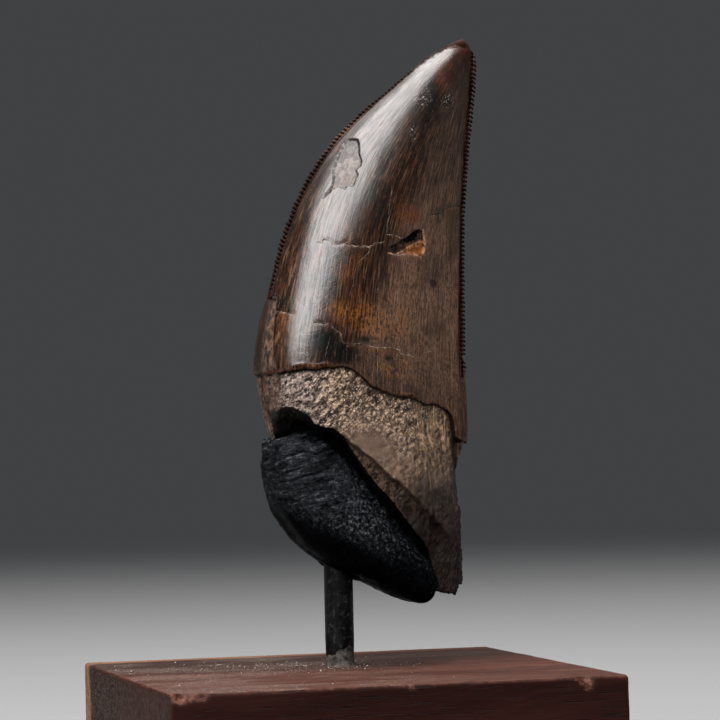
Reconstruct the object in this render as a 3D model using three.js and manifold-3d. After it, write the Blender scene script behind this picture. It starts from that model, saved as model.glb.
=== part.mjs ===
// A fossil tyrannosaur tooth on its display stand: a serrated, enamelled crown on a broken root,
// bedded in a moulded putty cradle at the top of a steel post, which stands in a walnut block.
// Millimetres, +Z up, +X along the block's front face, +Y to the back.
// The origin is the middle of the block's underside.
import * as THREE from 'three';
import { RoundedBoxGeometry } from 'three/addons/geometries/RoundedBoxGeometry.js';
import { mergeVertices } from 'three/addons/utils/BufferGeometryUtils.js';
import Module from 'manifold-3d';

const wasm = await Module();
wasm.setup();

// ---- driving dimensions ----

const GAP = 0.3; // clearance left between pieces that touch

const BLOCK_SIDE = 60;
const BLOCK_HEIGHT = 30;
const BLOCK_EDGE = 0.8; // radius of the block's eased edges

const POST_RADIUS = 2;
const POST_X = -0.4; // the post's place along the tooth's own frame
const POST_IN_BLOCK = 12;
const POST_IN_CRADLE = 11;
const SPECIMEN_X = 1.1; // the tooth, cradle and post stand a little right of
const SPECIMEN_Y = 4; // and behind the block's middle
const CRADLE_CLEARANCE = 13; // bare post between the block and the cradle

const ROOT_CLEARANCE = 9; // the root's lowest point above the block's top

const ENAMEL_STEP = 0.4; // the enamel's edge stands this far out from the root
const DENTICLE_PITCH = 0.6;
const DENTICLE_HEIGHT = 0.42;
const DENTICLE_WIDTH = 0.9;

// ---- the tooth's form ----

// Stations along the tooth from the root's end to the tip, about 7 mm apart. Each gives the mesial
// (leading) edge and the distal (trailing) edge as x and height above the root's end, then the depth
// from face to face. Both edges lie in the plane y = 0.
const STATIONS = [
  { mesial: [-5.0, 9.0], distal: [16.9, 0.0], depth: 14.4 },
  { mesial: [-7.8, 17.4], distal: [17.0, 8.5], depth: 16.0 },
  { mesial: [-10.0, 24.6], distal: [17.0, 15.2], depth: 17.4 },
  { mesial: [-11.1, 31.4], distal: [18.0, 21.6], depth: 18.2 },
  { mesial: [-10.6, 37.0], distal: [18.1, 26.9], depth: 17.9 },
  { mesial: [-9.2, 42.3], distal: [17.9, 32.2], depth: 17.2 },
  { mesial: [-7.2, 49.5], distal: [17.9, 39.8], depth: 16.0 },
  { mesial: [-4.7, 56.0], distal: [18.0, 46.4], depth: 14.7 },
  { mesial: [-1.1, 61.9], distal: [18.2, 53.0], depth: 13.0 },
  { mesial: [3.0, 66.1], distal: [18.7, 58.2], depth: 11.2 },
  { mesial: [7.6, 69.8], distal: [19.3, 63.5], depth: 9.0 },
  { mesial: [11.9, 73.1], distal: [20.1, 68.5], depth: 6.8 },
  { mesial: [15.3, 75.3], distal: [20.6, 72.0], depth: 4.7 },
  { mesial: [17.2, 76.6], distal: [20.6, 75.3], depth: 2.9 },
  { mesial: [18.9, 77.1], distal: [18.9, 77.1], depth: 0.0 },
];

// How the section's outline fills out: an even oval at the root, and in the crown a full mesial side
// that draws out to a thinner distal edge.
const MESIAL_FULLNESS = { root: 0.5, crown: 0.55 };
const DISTAL_FULLNESS = { root: 0.5, crown: 0.86 };
const CROWN_SHAPE = { start: 0.1, full: 0.28 }; // share of the length over which one becomes the other

// Where the enamel ends, as [distance across from the mesial edge, share of the tooth's length].
const ENAMEL_EDGE_FRONT = [
  [0, 0.213], [0.07, 0.225], [0.2, 0.252], [0.36, 0.266], [0.49, 0.245], [0.56, 0.242],
  [0.66, 0.254], [0.76, 0.248], [0.85, 0.263], [0.93, 0.25], [1, 0.205],
];
const ENAMEL_EDGE_BACK = [
  [0, 0.213], [0.1, 0.232], [0.25, 0.246], [0.38, 0.238], [0.52, 0.256], [0.68, 0.262],
  [0.8, 0.243], [0.9, 0.252], [1, 0.205],
];

function edgeLine(edge) {
  const points = STATIONS.map((s) => new THREE.Vector3(s[edge][0], 0, s[edge][1]));
  return new THREE.CatmullRomCurve3(points, false, 'catmullrom', 0.5);
}

const mesialLine = edgeLine('mesial');
const distalLine = edgeLine('distal');
const depthLine = new THREE.CatmullRomCurve3(
  STATIONS.map((s) => new THREE.Vector3(s.depth, 0, 0)), false, 'catmullrom', 0.5,
);

const MOST_TRIM = 0.45; // an inset takes at most this share of a section from each edge

// A point on the tooth's surface, inset by a wall thickness. The angle runs from the mesial edge
// round the front (-Y) to the distal edge at PI, and back round the rear.
function toothPoint(along, angle, inset) {
  const mesial = mesialLine.getPoint(along);
  const distal = distalLine.getPoint(along);
  const chord = distal.clone().sub(mesial);
  const width = chord.length();
  const trim = Math.min(inset, MOST_TRIM * width);
  if (width > 0) chord.multiplyScalar((width - 2 * trim) / width);
  const across = (1 - Math.cos(angle)) / 2;
  const middle = mesial.clone().add(distal).multiplyScalar(0.5);
  const depth = Math.max(0, depthLine.getPoint(along).x - 2 * inset);
  const point = middle.add(chord.multiplyScalar(across - 0.5));
  point.y = -Math.sign(Math.sin(angle)) * (depth / 2) * fullness(across, along);
  return point;
}

// The section's depth at a distance across it, as a share of its full depth.
function fullness(across, along) {
  const blend = THREE.MathUtils.smoothstep(along, CROWN_SHAPE.start, CROWN_SHAPE.full);
  const mesial = THREE.MathUtils.lerp(MESIAL_FULLNESS.root, MESIAL_FULLNESS.crown, blend);
  const distal = THREE.MathUtils.lerp(DISTAL_FULLNESS.root, DISTAL_FULLNESS.crown, blend);
  const fullest = mesial / (mesial + distal);
  return (across / fullest) ** mesial * ((1 - across) / (1 - fullest)) ** distal;
}

// Reads a height from a list of [across, height] points.
function readLine(points, across) {
  const next = Math.max(1, points.findIndex((p) => p[0] >= across));
  const [a, b] = [points[next - 1], points[next]];
  return THREE.MathUtils.lerp(a[1], b[1], (across - a[0]) / (b[0] - a[0]));
}

function enamelEdge(angle) {
  const across = (1 - Math.cos(angle)) / 2;
  return readLine(angle <= Math.PI ? ENAMEL_EDGE_FRONT : ENAMEL_EDGE_BACK, Math.min(across, 1));
}

// ---- solids ----

// A closed body through a stack of rings, each a list of points, with its two ends fanned shut.
function loft(rings) {
  const count = rings[0].length;
  const points = rings.flat();
  const faces = [];
  for (let row = 0; row + 1 < rings.length; row += 1) {
    for (let i = 0; i < count; i += 1) {
      const next = (i + 1) % count;
      const [a, b] = [row * count + i, row * count + next];
      faces.push(a, b, b + count, a, b + count, a + count);
    }
  }
  const lastRing = (rings.length - 1) * count;
  const bottom = points.push(middleOf(rings[0])) - 1;
  const top = points.push(middleOf(rings[rings.length - 1])) - 1;
  for (let i = 0; i < count; i += 1) {
    const next = (i + 1) % count;
    faces.push(bottom, next, i, top, lastRing + i, lastRing + next);
  }
  const geometry = new THREE.BufferGeometry().setFromPoints(points);
  geometry.setIndex(faces);
  return solid(geometry);
}

function middleOf(ring) {
  const sum = ring.reduce((total, point) => total.add(point), new THREE.Vector3());
  return sum.divideScalar(ring.length);
}

// A three.js geometry as a solid that can be joined and cut.
function solid(geometry) {
  const bare = geometry.clone();
  bare.deleteAttribute('normal');
  bare.deleteAttribute('uv');
  const merged = mergeVertices(bare, 1e-4);
  return new wasm.Manifold(new wasm.Mesh({
    numProp: 3,
    vertProperties: new Float32Array(merged.attributes.position.array),
    triVerts: new Uint32Array(merged.index.array),
  }));
}

// A solid's surface as flat-shaded three.js geometry.
function surface(body) {
  const mesh = body.getMesh();
  const geometry = new THREE.BufferGeometry();
  geometry.setAttribute('position', new THREE.BufferAttribute(mesh.vertProperties, 3));
  geometry.setIndex(new THREE.BufferAttribute(mesh.triVerts, 1));
  const flat = geometry.toNonIndexed();
  flat.computeVertexNormals();
  return flat;
}

// A prism along Y through an outline of [x, z] points.
function prism(outline, fromY, toY) {
  const shape = new THREE.Shape(outline.map(([x, z]) => new THREE.Vector2(x, z)));
  const geometry = new THREE.ExtrudeGeometry(shape, { depth: toY - fromY, bevelEnabled: false });
  geometry.rotateX(Math.PI / 2);
  geometry.translate(0, toY, 0);
  return solid(geometry);
}

function rod(radius, fromZ, toZ, x, sides) {
  const geometry = new THREE.CylinderGeometry(radius, radius, toZ - fromZ, sides);
  geometry.rotateX(Math.PI / 2);
  geometry.translate(x, 0, (fromZ + toZ) / 2);
  return solid(geometry);
}

// ---- the tooth ----

const ROOT_ROWS = 10;
const ROOT_REACH = 0.45; // how far up the tooth, inside the crown, the root's body runs
const CROWN_ROWS = 24;
const ROUND = 26; // points round each section

function ring(inset, alongAt) {
  const points = [];
  for (let i = 0; i < ROUND; i += 1) {
    const angle = (i / ROUND) * 2 * Math.PI;
    points.push(toothPoint(alongAt(angle), angle, inset));
  }
  return points;
}

// The tooth's outer form between two shares of its length, inset by a wall thickness.
function toothBody(inset, from, to, rows) {
  const rings = [];
  for (let row = 0; row <= rows; row += 1) {
    const along = THREE.MathUtils.lerp(from, to, row / rows);
    rings.push(ring(inset, () => along));
  }
  return loft(rings);
}

// The enamelled crown, whose lower edge follows the enamel line round the tooth.
const CROWN_TOP = 0.995;

function crown() {
  const rings = [];
  for (let row = 0; row <= CROWN_ROWS; row += 1) {
    const up = row / CROWN_ROWS;
    rings.push(ring(0, (angle) => THREE.MathUtils.lerp(enamelEdge(angle), CROWN_TOP, up)));
  }
  return loft(rings);
}

// One serration: a blunt chisel that stands out of the crown's edge.
const CHISEL = { tip: 0.28, sides: 4, sunk: 0.6, fill: 0.97 };

function denticle(edge, other, place) {
  const at = edge.getPointAt(place);
  const run = edge.getTangentAt(place);
  const out = at.clone().sub(other.getPoint(edge.getUtoTmapping(place))).normalize();
  out.addScaledVector(run, -out.dot(run)).normalize();
  const height = DENTICLE_HEIGHT + CHISEL.sunk;
  const root = (DENTICLE_PITCH / 2) * Math.SQRT2 * CHISEL.fill;
  const geometry = new THREE.CylinderGeometry(root * CHISEL.tip, root, height, CHISEL.sides);
  geometry.rotateY(Math.PI / 4);
  geometry.translate(0, height / 2 - CHISEL.sunk, 0);
  geometry.scale(1, 1, DENTICLE_WIDTH / DENTICLE_PITCH);
  const side = new THREE.Vector3().crossVectors(run, out);
  geometry.applyMatrix4(new THREE.Matrix4().makeBasis(run, out, side).setPosition(at));
  return solid(geometry);
}

// The serrated stretch of each carina, as shares of its length from the root's end.
const SERRATED = { mesial: [0.42, 0.93], distal: [0.33, 0.96] };

function denticles() {
  const row = [];
  for (const [edge, other, [from, to]] of [
    [mesialLine, distalLine, SERRATED.mesial], [distalLine, mesialLine, SERRATED.distal],
  ]) {
    const count = Math.floor((edge.getLength() * (to - from)) / DENTICLE_PITCH);
    for (let i = 0; i < count; i += 1) {
      row.push(denticle(edge, other, THREE.MathUtils.lerp(from, to, i / (count - 1))));
    }
  }
  return row;
}

// Places where a thin scale has come off: an outline seen from the front or the back, and a depth.
const FLAKES = [
  // the oval scar high on the front
  { side: -1, depth: 0.35, outline: [[-2.6, 94.0], [-0.7, 95.4], [1.0, 95.3], [2.5, 98.4], [2.5, 101.0],
    [1.8, 102.2], [0.6, 101.0], [-0.8, 98.2], [-1.3, 95.9]] },
  // the three-cornered chip at mid height
  { side: -1, depth: 0.7, outline: [[7.9, 88.6], [10.9, 88.8], [11.2, 86.6], [10.4, 85.4], [8.4, 86.6]] },
  // the strip beside the mesial edge where the enamel has come away
  { side: -1, depth: 0.45, outline: [[-12.5, 71.5], [-10.6, 71.5], [-10.2, 76.0], [-9.5, 80.8],
    [-12.5, 80.8]] },
  // the stepped ledge along the broken root, front and back
  { side: -1, depth: 1.3, outline: [[-1.5, 61.6], [3.3, 57.4], [5.9, 54.0], [8.9, 51.8], [12.4, 49.0],
    [14.6, 47.9], [15.2, 44.6], [14.2, 38.0], [8.0, 38.0], [-3.0, 56.0]] },
  { side: 1, depth: 1.1, outline: [[-4.0, 63.0], [1.0, 60.6], [5.4, 56.2], [10.0, 52.6], [12.8, 48.2],
    [13.4, 38.0], [8.0, 38.0], [-5.0, 56.0]] },
];

// The break across the root, from the mesial edge down to the spur left at the distal edge.
const BREAK_LINE = [
  [-8.3, 59.5], [-8.0, 64.4], [-6.9, 65.6], [-5.4, 63.7], [-3.0, 62.5], [-0.6, 61.0], [1.5, 57.7],
  [4.5, 54.0], [6.9, 52.1], [8.9, 48.8], [11.4, 46.3], [11.3, 43.4], [11.9, 40.6], [13.6, 39.9],
  [15.2, 39.4], [16.0, 40.9], [18.5, 41.2],
];

// Pits in the root's surface, spread evenly by the golden angle between the break and the enamel.
const PITS = { count: 16, radius: 0.75, from: 0.07, to: 0.22, flatness: 0.5 };
const GOLDEN_ANGLE = Math.PI * (3 - Math.sqrt(5));

function rootPits() {
  const pits = [];
  for (let i = 0; i < PITS.count; i += 1) {
    const along = THREE.MathUtils.lerp(PITS.from, PITS.to, (i + 0.5) / PITS.count);
    const at = toothPoint(along, i * GOLDEN_ANGLE, ENAMEL_STEP);
    const pit = new THREE.OctahedronGeometry(PITS.radius);
    pit.scale(1, PITS.flatness, 1);
    pit.translate(at.x, at.y, at.z);
    pits.push(solid(pit));
  }
  return pits;
}

const SIDE_REACH = 15; // beyond the tooth's front and back
const BELOW = 30; // lower than anything on the tooth

// Everything under the break line as a prism through the whole depth, drawn in by a gap.
function underBreak(gap) {
  const [endX] = BREAK_LINE[BREAK_LINE.length - 1];
  const outline = [...BREAK_LINE, [endX, BELOW], [-20, BELOW], [-20, BREAK_LINE[0][1]]];
  const whole = prism(outline, -SIDE_REACH, SIDE_REACH);
  return whole.translate(-gap, 0, -gap).intersect(whole.translate(gap, 0, -gap));
}

function flakeCutter({ side, depth, outline }) {
  const column = side < 0 ? prism(outline, -SIDE_REACH, 0) : prism(outline, 0, SIDE_REACH);
  return column.subtract(toothBody(depth, 0, 1, ROOT_ROWS + CROWN_ROWS).translate(0, 0, toothLift));
}

const toothLift = BLOCK_HEIGHT + ROOT_CLEARANCE;

function toothSolid() {
  let body = toothBody(ENAMEL_STEP, 0, ROOT_REACH, ROOT_ROWS);
  for (const pit of rootPits()) body = body.subtract(pit);
  body = body.add(crown());
  for (const chisel of denticles()) body = body.add(chisel);
  body = body.translate(0, 0, toothLift).subtract(underBreak(0));
  for (const flake of FLAKES) body = body.subtract(flakeCutter(flake));
  return body;
}

// ---- the stand ----

const toothMaterial = new THREE.MeshStandardMaterial({ color: 0x4a2c1c, roughness: 0.32, metalness: 0 });
const puttyMaterial = new THREE.MeshStandardMaterial({ color: 0x1c1e21, roughness: 0.5, metalness: 0 });
const paintedSteel = new THREE.MeshStandardMaterial({ color: 0x17181a, roughness: 0.45, metalness: 0.3 });
const walnut = new THREE.MeshStandardMaterial({ color: 0x55291b, roughness: 0.6, metalness: 0 });

// Stations along the pad from its blunt upper end down to the toe. Each gives the rim that follows
// the break and the outer side as x and z, then the depth from face to face.
const PAD_STATIONS = [
  { rim: [-8.4, 61.2], outer: [-9.7, 59.7], depth: 9.0 },
  { rim: [-6.6, 61.7], outer: [-10.1, 57.0], depth: 14.2 },
  { rim: [-4.0, 60.8], outer: [-9.6, 53.3], depth: 16.2 },
  { rim: [-1.0, 58.1], outer: [-7.9, 49.8], depth: 16.7 },
  { rim: [1.9, 54.5], outer: [-4.8, 46.4], depth: 16.7 },
  { rim: [4.8, 50.9], outer: [-0.2, 43.4], depth: 16.4 },
  { rim: [7.8, 47.7], outer: [4.6, 41.1], depth: 15.8 },
  { rim: [10.6, 45.0], outer: [8.1, 39.3], depth: 14.6 },
  { rim: [12.1, 42.2], outer: [10.7, 38.5], depth: 11.6 },
  { rim: [12.3, 40.8], outer: [11.9, 39.5], depth: 7.0 },
];
const PAD_SQUARENESS = 2.9; // 2 would round the sections into ovals
const PAD_ROWS = 18;
const PAD_ROUND = 24;

function squared(value) {
  return Math.sign(value) * Math.abs(value) ** (2 / PAD_SQUARENESS);
}

function padSolid() {
  const line = (of) => new THREE.CatmullRomCurve3(PAD_STATIONS.map(of), false, 'catmullrom', 0.5);
  const rimLine = line((s) => new THREE.Vector3(s.rim[0], 0, s.rim[1]));
  const outerLine = line((s) => new THREE.Vector3(s.outer[0], 0, s.outer[1]));
  const depthAlong = line((s) => new THREE.Vector3(s.depth, 0, 0));
  const rings = [];
  for (let row = 0; row <= PAD_ROWS; row += 1) {
    const along = row / PAD_ROWS;
    const [rim, outer] = [rimLine.getPoint(along), outerLine.getPoint(along)];
    const points = [];
    for (let i = 0; i < PAD_ROUND; i += 1) {
      const angle = (i / PAD_ROUND) * 2 * Math.PI;
      const point = outer.clone().lerp(rim, (1 + squared(Math.cos(angle))) / 2);
      point.y = -squared(Math.sin(angle)) * (depthAlong.getPoint(along).x / 2);
      points.push(point);
    }
    rings.push(points);
  }
  return loft(rings);
}

const PUTTY_SET_BACK = 2.2; // how far the filling in the broken root lies behind its surface

function cradleSolid() {
  const filling = toothBody(PUTTY_SET_BACK, 0, ROOT_REACH, ROOT_ROWS)
    .translate(0, 0, toothLift)
    .intersect(underBreak(GAP));
  const tooth = toothBody(-GAP, 0, ROOT_REACH, ROOT_ROWS)
    .translate(0, 0, toothLift)
    .subtract(underBreak(GAP));
  const socket = rod(POST_RADIUS + GAP, BELOW, postTop + GAP, POST_X, POST_SIDES);
  return padSolid().add(filling).subtract(tooth).subtract(socket);
}

const POST_SIDES = 24;
const postFoot = BLOCK_HEIGHT - POST_IN_BLOCK;
const postTop = BLOCK_HEIGHT + CRADLE_CLEARANCE + POST_IN_CRADLE;

function postSolid() {
  return rod(POST_RADIUS, postFoot, postTop, POST_X, POST_SIDES);
}

// Small knocks on the block's front top edge, as x along the edge and size.
const KNOCKS = [[-28.0, 1.9], [-25.9, 1.0], [0.7, 0.8], [23.8, 0.9], [25.6, 1.5]];

function blockSolid() {
  const box = new RoundedBoxGeometry(BLOCK_SIDE, BLOCK_SIDE, BLOCK_HEIGHT, 3, BLOCK_EDGE);
  box.translate(0, 0, BLOCK_HEIGHT / 2);
  const hole = rod(POST_RADIUS + GAP, postFoot - GAP, BLOCK_HEIGHT + 1, POST_X, POST_SIDES)
    .translate(SPECIMEN_X, SPECIMEN_Y, 0);
  let block = solid(box).subtract(hole);
  for (const [x, size] of KNOCKS) {
    const knock = new THREE.OctahedronGeometry(size);
    knock.scale(1.4, 0.5, 0.5);
    knock.translate(x, -BLOCK_SIDE / 2, BLOCK_HEIGHT);
    block = block.subtract(solid(knock));
  }
  return block;
}

function piece(name, body, material) {
  const mesh = new THREE.Mesh(surface(body), material);
  mesh.name = name;
  return mesh;
}

const specimen = new THREE.Group();
specimen.position.set(SPECIMEN_X, SPECIMEN_Y, 0);
specimen.add(piece('post', postSolid(), paintedSteel));
specimen.add(piece('cradle', cradleSolid(), puttyMaterial));
specimen.add(piece('tooth', toothSolid(), toothMaterial));

const display = new THREE.Group();
display.add(piece('base', blockSolid(), walnut));
display.add(specimen);

export default display;
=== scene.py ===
"""A fossil tyrannosaur tooth on its stand: what it looks like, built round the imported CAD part.

Shapes are worked out in millimetres in the tooth's own frame (X from the mesial to the distal
edge, -Y to the front, Z above the block's underside) and moved into the row frame at the end.
"""

import functools
import itertools
import math

import bpy
import numpy as np
from mathutils import Matrix, Vector


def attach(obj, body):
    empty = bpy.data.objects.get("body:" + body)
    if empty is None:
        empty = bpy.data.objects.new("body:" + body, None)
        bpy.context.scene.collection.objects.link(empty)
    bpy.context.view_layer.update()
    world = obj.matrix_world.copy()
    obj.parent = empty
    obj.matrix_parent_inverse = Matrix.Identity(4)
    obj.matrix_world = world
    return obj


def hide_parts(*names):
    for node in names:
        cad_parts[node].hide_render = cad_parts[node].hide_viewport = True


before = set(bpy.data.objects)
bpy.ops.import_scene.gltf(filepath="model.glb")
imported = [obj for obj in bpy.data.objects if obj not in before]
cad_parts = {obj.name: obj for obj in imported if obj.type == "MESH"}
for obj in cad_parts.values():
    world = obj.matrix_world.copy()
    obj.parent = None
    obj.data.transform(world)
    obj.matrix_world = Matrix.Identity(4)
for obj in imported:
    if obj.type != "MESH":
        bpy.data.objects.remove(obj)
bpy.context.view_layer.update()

MM = 0.001
SPECIMEN = np.array([1.1, 4.0, 0.0])  # the tooth's frame in the row frame
BLOCK_SIDE = 60.0
BLOCK_TOP = 30.35


# ---- numbers without a pattern, the same on every run ----


def lattice(i, j, k, seed):
    """A value from 0 to 1 for each whole-number place."""
    h = (i * 73856093) ^ (j * 19349663) ^ (k * 83492791) ^ (seed * 668265263)
    h = (h & 0xFFFFFFFF).astype(np.uint64)
    h = ((h ^ (h >> np.uint64(15))) * np.uint64(2246822519)) & np.uint64(0xFFFFFFFF)
    h = ((h ^ (h >> np.uint64(13))) * np.uint64(3266489917)) & np.uint64(0xFFFFFFFF)
    return ((h ^ (h >> np.uint64(16))) & np.uint64(0xFFFFFF)) / float(0xFFFFFF)


def noise(p, size, seed):
    """Smooth noise from -1 to 1 with features about size across (a number or one per axis)."""
    q = np.asarray(p, float) / np.asarray(size, float)
    cell = np.floor(q).astype(np.int64)
    f = q - cell
    f = f * f * f * (f * (f * 6 - 15) + 10)
    total = 0
    for corner in itertools.product((0, 1), repeat=3):
        x, y, z = np.moveaxis(np.where(corner, f, 1 - f), -1, 0)
        total = total + x * y * z * lattice(*np.moveaxis(cell + corner, -1, 0), seed)
    return total * 2 - 1


def rough(p, size, octaves, seed, gain=0.55):
    """Several layers of noise, each half the size of the one before."""
    total, strength, reach = 0, 1.0, 0.0
    for layer in range(octaves):
        total = total + strength * noise(p, np.asarray(size, float) / 2**layer, seed + layer)
        reach += strength
        strength *= gain
    return total / reach


def pits(p, size, seed, fill=1.0):
    """1 at the middle of scattered round spots, falling to 0 at their rims."""
    q = np.asarray(p, float) / np.asarray(size, float)
    cell = np.floor(q).astype(np.int64)
    best = np.zeros(q.shape[:-1])
    for step in itertools.product((-1, 0, 1), repeat=3):
        c = cell + step
        *spot, wide, chance = (lattice(*np.moveaxis(c, -1, 0), seed + n) for n in range(5))
        gap = np.linalg.norm(q - c - np.stack(spot, -1), axis=-1)
        best = np.maximum(best, np.clip(1 - gap / (0.25 + 0.35 * wide), 0, 1) * (chance < fill))
    return best


def smooth(low, high, x):
    s = np.clip((x - low) / (high - low), 0, 1)
    return s * s * (3 - 2 * s)


def bell(x, centre, width):
    return np.exp(-(((x - centre) / width) ** 2))


# ---- lines and outlines, as lists of [x, z] points in the plane of the tooth ----


def segment_gap(points, a, b):
    """How far each point is from the segment from a to b."""
    run = b - a
    share = np.clip(((points - a) @ run) / max(run @ run, 1e-9), 0, 1)
    return np.linalg.norm(points - a - share[:, None] * run, axis=1)


def inside_by(points, outline):
    """Distance to a closed outline, above 0 inside it and below 0 outside."""
    outline = np.array(outline, float)
    gap = np.full(len(points), 1e9)
    inside = np.zeros(len(points), bool)
    for a, b in zip(outline, np.roll(outline, -1, axis=0)):
        gap = np.minimum(gap, segment_gap(points, a, b))
        crosses = (a[1] > points[:, 1]) != (b[1] > points[:, 1])
        at = (b[0] - a[0]) * (points[:, 1] - a[1]) / (b[1] - a[1] + 1e-12) + a[0]
        inside ^= crosses & (points[:, 0] < at)
    return np.where(inside, gap, -gap)


def line_offset(points, line, upright=False):
    """Distance to a line, above 0 on its upper (or right) side and below 0 on the other."""
    line = np.array(line, float)
    if upright:
        points, line = points[:, ::-1], line[:, ::-1]
    first, last = line[0] - [3.0, 0], line[-1] + [3.0, 0]
    line = np.vstack([first, line, last])
    gap = np.full(len(points), 1e9)
    for a, b in zip(line[:-1], line[1:]):
        gap = np.minimum(gap, segment_gap(points, a, b))
    height = np.interp(points[:, 0], line[:, 0], line[:, 1])
    return gap * np.where(points[:, 1] >= height, 1, -1)


def windows(x, spans, ease=0.5):
    """1 within any of the spans, easing to 0 at their ends."""
    total = np.zeros(len(x))
    for low, high in spans:
        within = smooth(low - ease / 2, low + ease, x) * smooth(high + ease / 2, high - ease, x)
        total = np.maximum(total, within)
    return total


# ---- the tooth's form ----

# Mesial edge x and z, distal edge x and z, depth from face to face, from the root's end to the tip.
STATIONS = np.array([
    [-5, 48, 16.9, 39, 14.4], [-7.8, 56.4, 17, 47.5, 16], [-10, 63.6, 17.1, 54.2, 17.4],
    [-11.1, 70.4, 18.4, 60.6, 18.2], [-10.6, 76, 18.5, 65.9, 17.9], [-9.2, 81.3, 18.3, 71.2, 17.2],
    [-7.1, 88.4, 18.3, 78.8, 16], [-4.4, 94.8, 18.4, 85.4, 14.7], [-0.7, 100.6, 18.6, 92, 13],
    [3.3, 104.9, 19.1, 97.2, 11.2], [7.7, 108.7, 19.65, 102.5, 9], [11.9, 112.1, 20.3, 107.5, 6.8],
    [15.3, 114.3, 20.65, 111, 4.7], [17.2, 115.6, 20.6, 114.3, 2.9], [18.9, 116.1, 18.9, 116.1, 0],
])
SPANS = len(STATIONS) - 1
TOOTH_LENGTH = 78.0
ENAMEL_STEP = 0.4

# Where the enamel ends, as [distance across from the mesial edge, share of the tooth's length].
ENAMEL_EDGE_FRONT = np.array([
    [0, 0.212], [0.05, 0.218], [0.09, 0.226], [0.12, 0.231], [0.18, 0.238], [0.25, 0.251],
    [0.27, 0.251], [0.32, 0.26], [0.36, 0.262], [0.4, 0.258], [0.44, 0.251], [0.47, 0.245],
    [0.54, 0.243], [0.62, 0.245], [0.67, 0.254], [0.73, 0.252], [0.77, 0.249], [0.82, 0.258],
    [0.89, 0.257], [0.92, 0.247], [0.93, 0.23], [0.936, 0.215], [0.95, 0.211], [1, 0.21],
])
ENAMEL_EDGE_BACK = np.array([
    [0, 0.212], [0.1, 0.232], [0.25, 0.246], [0.38, 0.238], [0.52, 0.256], [0.68, 0.262], [0.8, 0.243],
    [0.9, 0.252], [0.93, 0.23], [0.95, 0.212], [1, 0.21],
])


def catmull(stations, share):
    """Values on one smooth curve through the stations, at shares of its length from 0 to 1."""
    count = len(stations) - 1
    s = np.clip(np.asarray(share, float), 0, 1) * count
    i = np.minimum(np.floor(s).astype(int), count - 1)
    w = (s - i)[..., None]
    padded = np.vstack([2 * stations[0] - stations[1], stations, 2 * stations[-1] - stations[-2]])
    a, b, c, d = (padded[i + n] for n in range(4))
    leave, arrive = 0.5 * (c - a), 0.5 * (d - b)
    value = (2 * b - 2 * c + leave + arrive) * w**3 + (3 * c - 3 * b - 2 * leave - arrive) * w**2
    return value + leave * w + b


def station(along):
    """The station values at a share of the tooth's length. The depth rounds off at the tip."""
    value = catmull(STATIONS, along)
    last = np.clip(np.clip(along, 0, 1) * SPANS - (SPANS - 1), 0, 1)
    value[..., 4] *= np.minimum(np.sqrt((1 + last) / np.maximum(1 - last, 1e-4)), 12)
    return value


def tooth_point(along, angle, inset=0.0):
    """A point on the tooth, inset by a wall. Angle 0 is the mesial edge and PI/2 the front's middle."""
    along, angle = np.broadcast_arrays(np.asarray(along, float), np.asarray(angle, float))
    s = station(along)
    mesial, distal, depth = s[..., 0:2], s[..., 2:4], s[..., 4]
    chord = distal - mesial
    width = np.linalg.norm(chord, axis=-1)
    trim = np.minimum(inset, 0.45 * width)
    share = (width - 2 * trim) / np.maximum(width, 1e-6)
    across = (1 - np.cos(angle)) / 2
    early, crown, tip = smooth(0.0, 0.17, along), smooth(0.12, 0.24, along), smooth(0.5, 0.95, along)
    belly, foot = smooth(0.58, 0.36, along), smooth(0.44, 0.2, along)
    a = 0.5 + early * (0.05 - 0.07 * belly - 0.12 * foot) - 0.1 * tip
    b = 0.5 + crown * (0.36 + 0.2 * belly + 0.1 * foot) + 0.42 * tip
    fullest = a / (a + b)
    full = (across / fullest) ** a * ((1 - across) / (1 - fullest)) ** b
    flat = (mesial + distal) / 2 + chord * (share * (across - 0.5))[..., None]
    y = np.where(np.sin(angle) >= 0, -1.0, 1.0) * np.maximum(depth - 2 * inset, 0) / 2 * full
    return np.stack([flat[..., 0], y, flat[..., 1]], -1)


def outward(points):
    """Unit normals of a grid of points whose rows run up and whose columns run round."""
    around = (np.roll(points, -1, axis=1) - np.roll(points, 1, axis=1)) / 2
    n = np.cross(around, np.gradient(points, axis=0))
    return n / np.maximum(np.linalg.norm(n, axis=-1, keepdims=True), 1e-9)


def enamel_edge(angle):
    """Share of the length at which the enamel ends."""
    across = (1 - np.cos(angle)) / 2
    front, back = (np.interp(across, *line.T) for line in (ENAMEL_EDGE_FRONT, ENAMEL_EDGE_BACK))
    place = np.stack([across * 28, np.sin(angle) * 9, np.zeros_like(across)], -1)
    ragged = 0.0032 * rough(place, 1.6, 3, 11) * smooth(0, 0.05, across) * smooth(1, 0.95, across)
    return np.where(np.sin(angle) >= 0, front, back) + ragged


def edge_gaps(points, along):
    """How far each point is from the mesial and from the distal edge."""
    s = station(along)
    edges = (np.insert(s[..., n : n + 2], 1, 0, axis=-1) for n in (0, 2))
    return [np.linalg.norm(points - edge, axis=-1) for edge in edges]


# ---- from arrays to Blender ----


def grid_faces(rows, columns, wrap=True, start=0, flip=False):
    """Quads between neighbouring rows and columns of a grid of vertices."""
    r = np.arange(rows - 1)[:, None] * columns
    c = np.arange(columns if wrap else columns - 1)
    a, b = r + c, r + (c + 1) % columns
    quads = np.stack([a, b, b + columns, a + columns], -1).reshape(-1, 4) + start
    return quads[:, ::-1] if flip else quads


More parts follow.
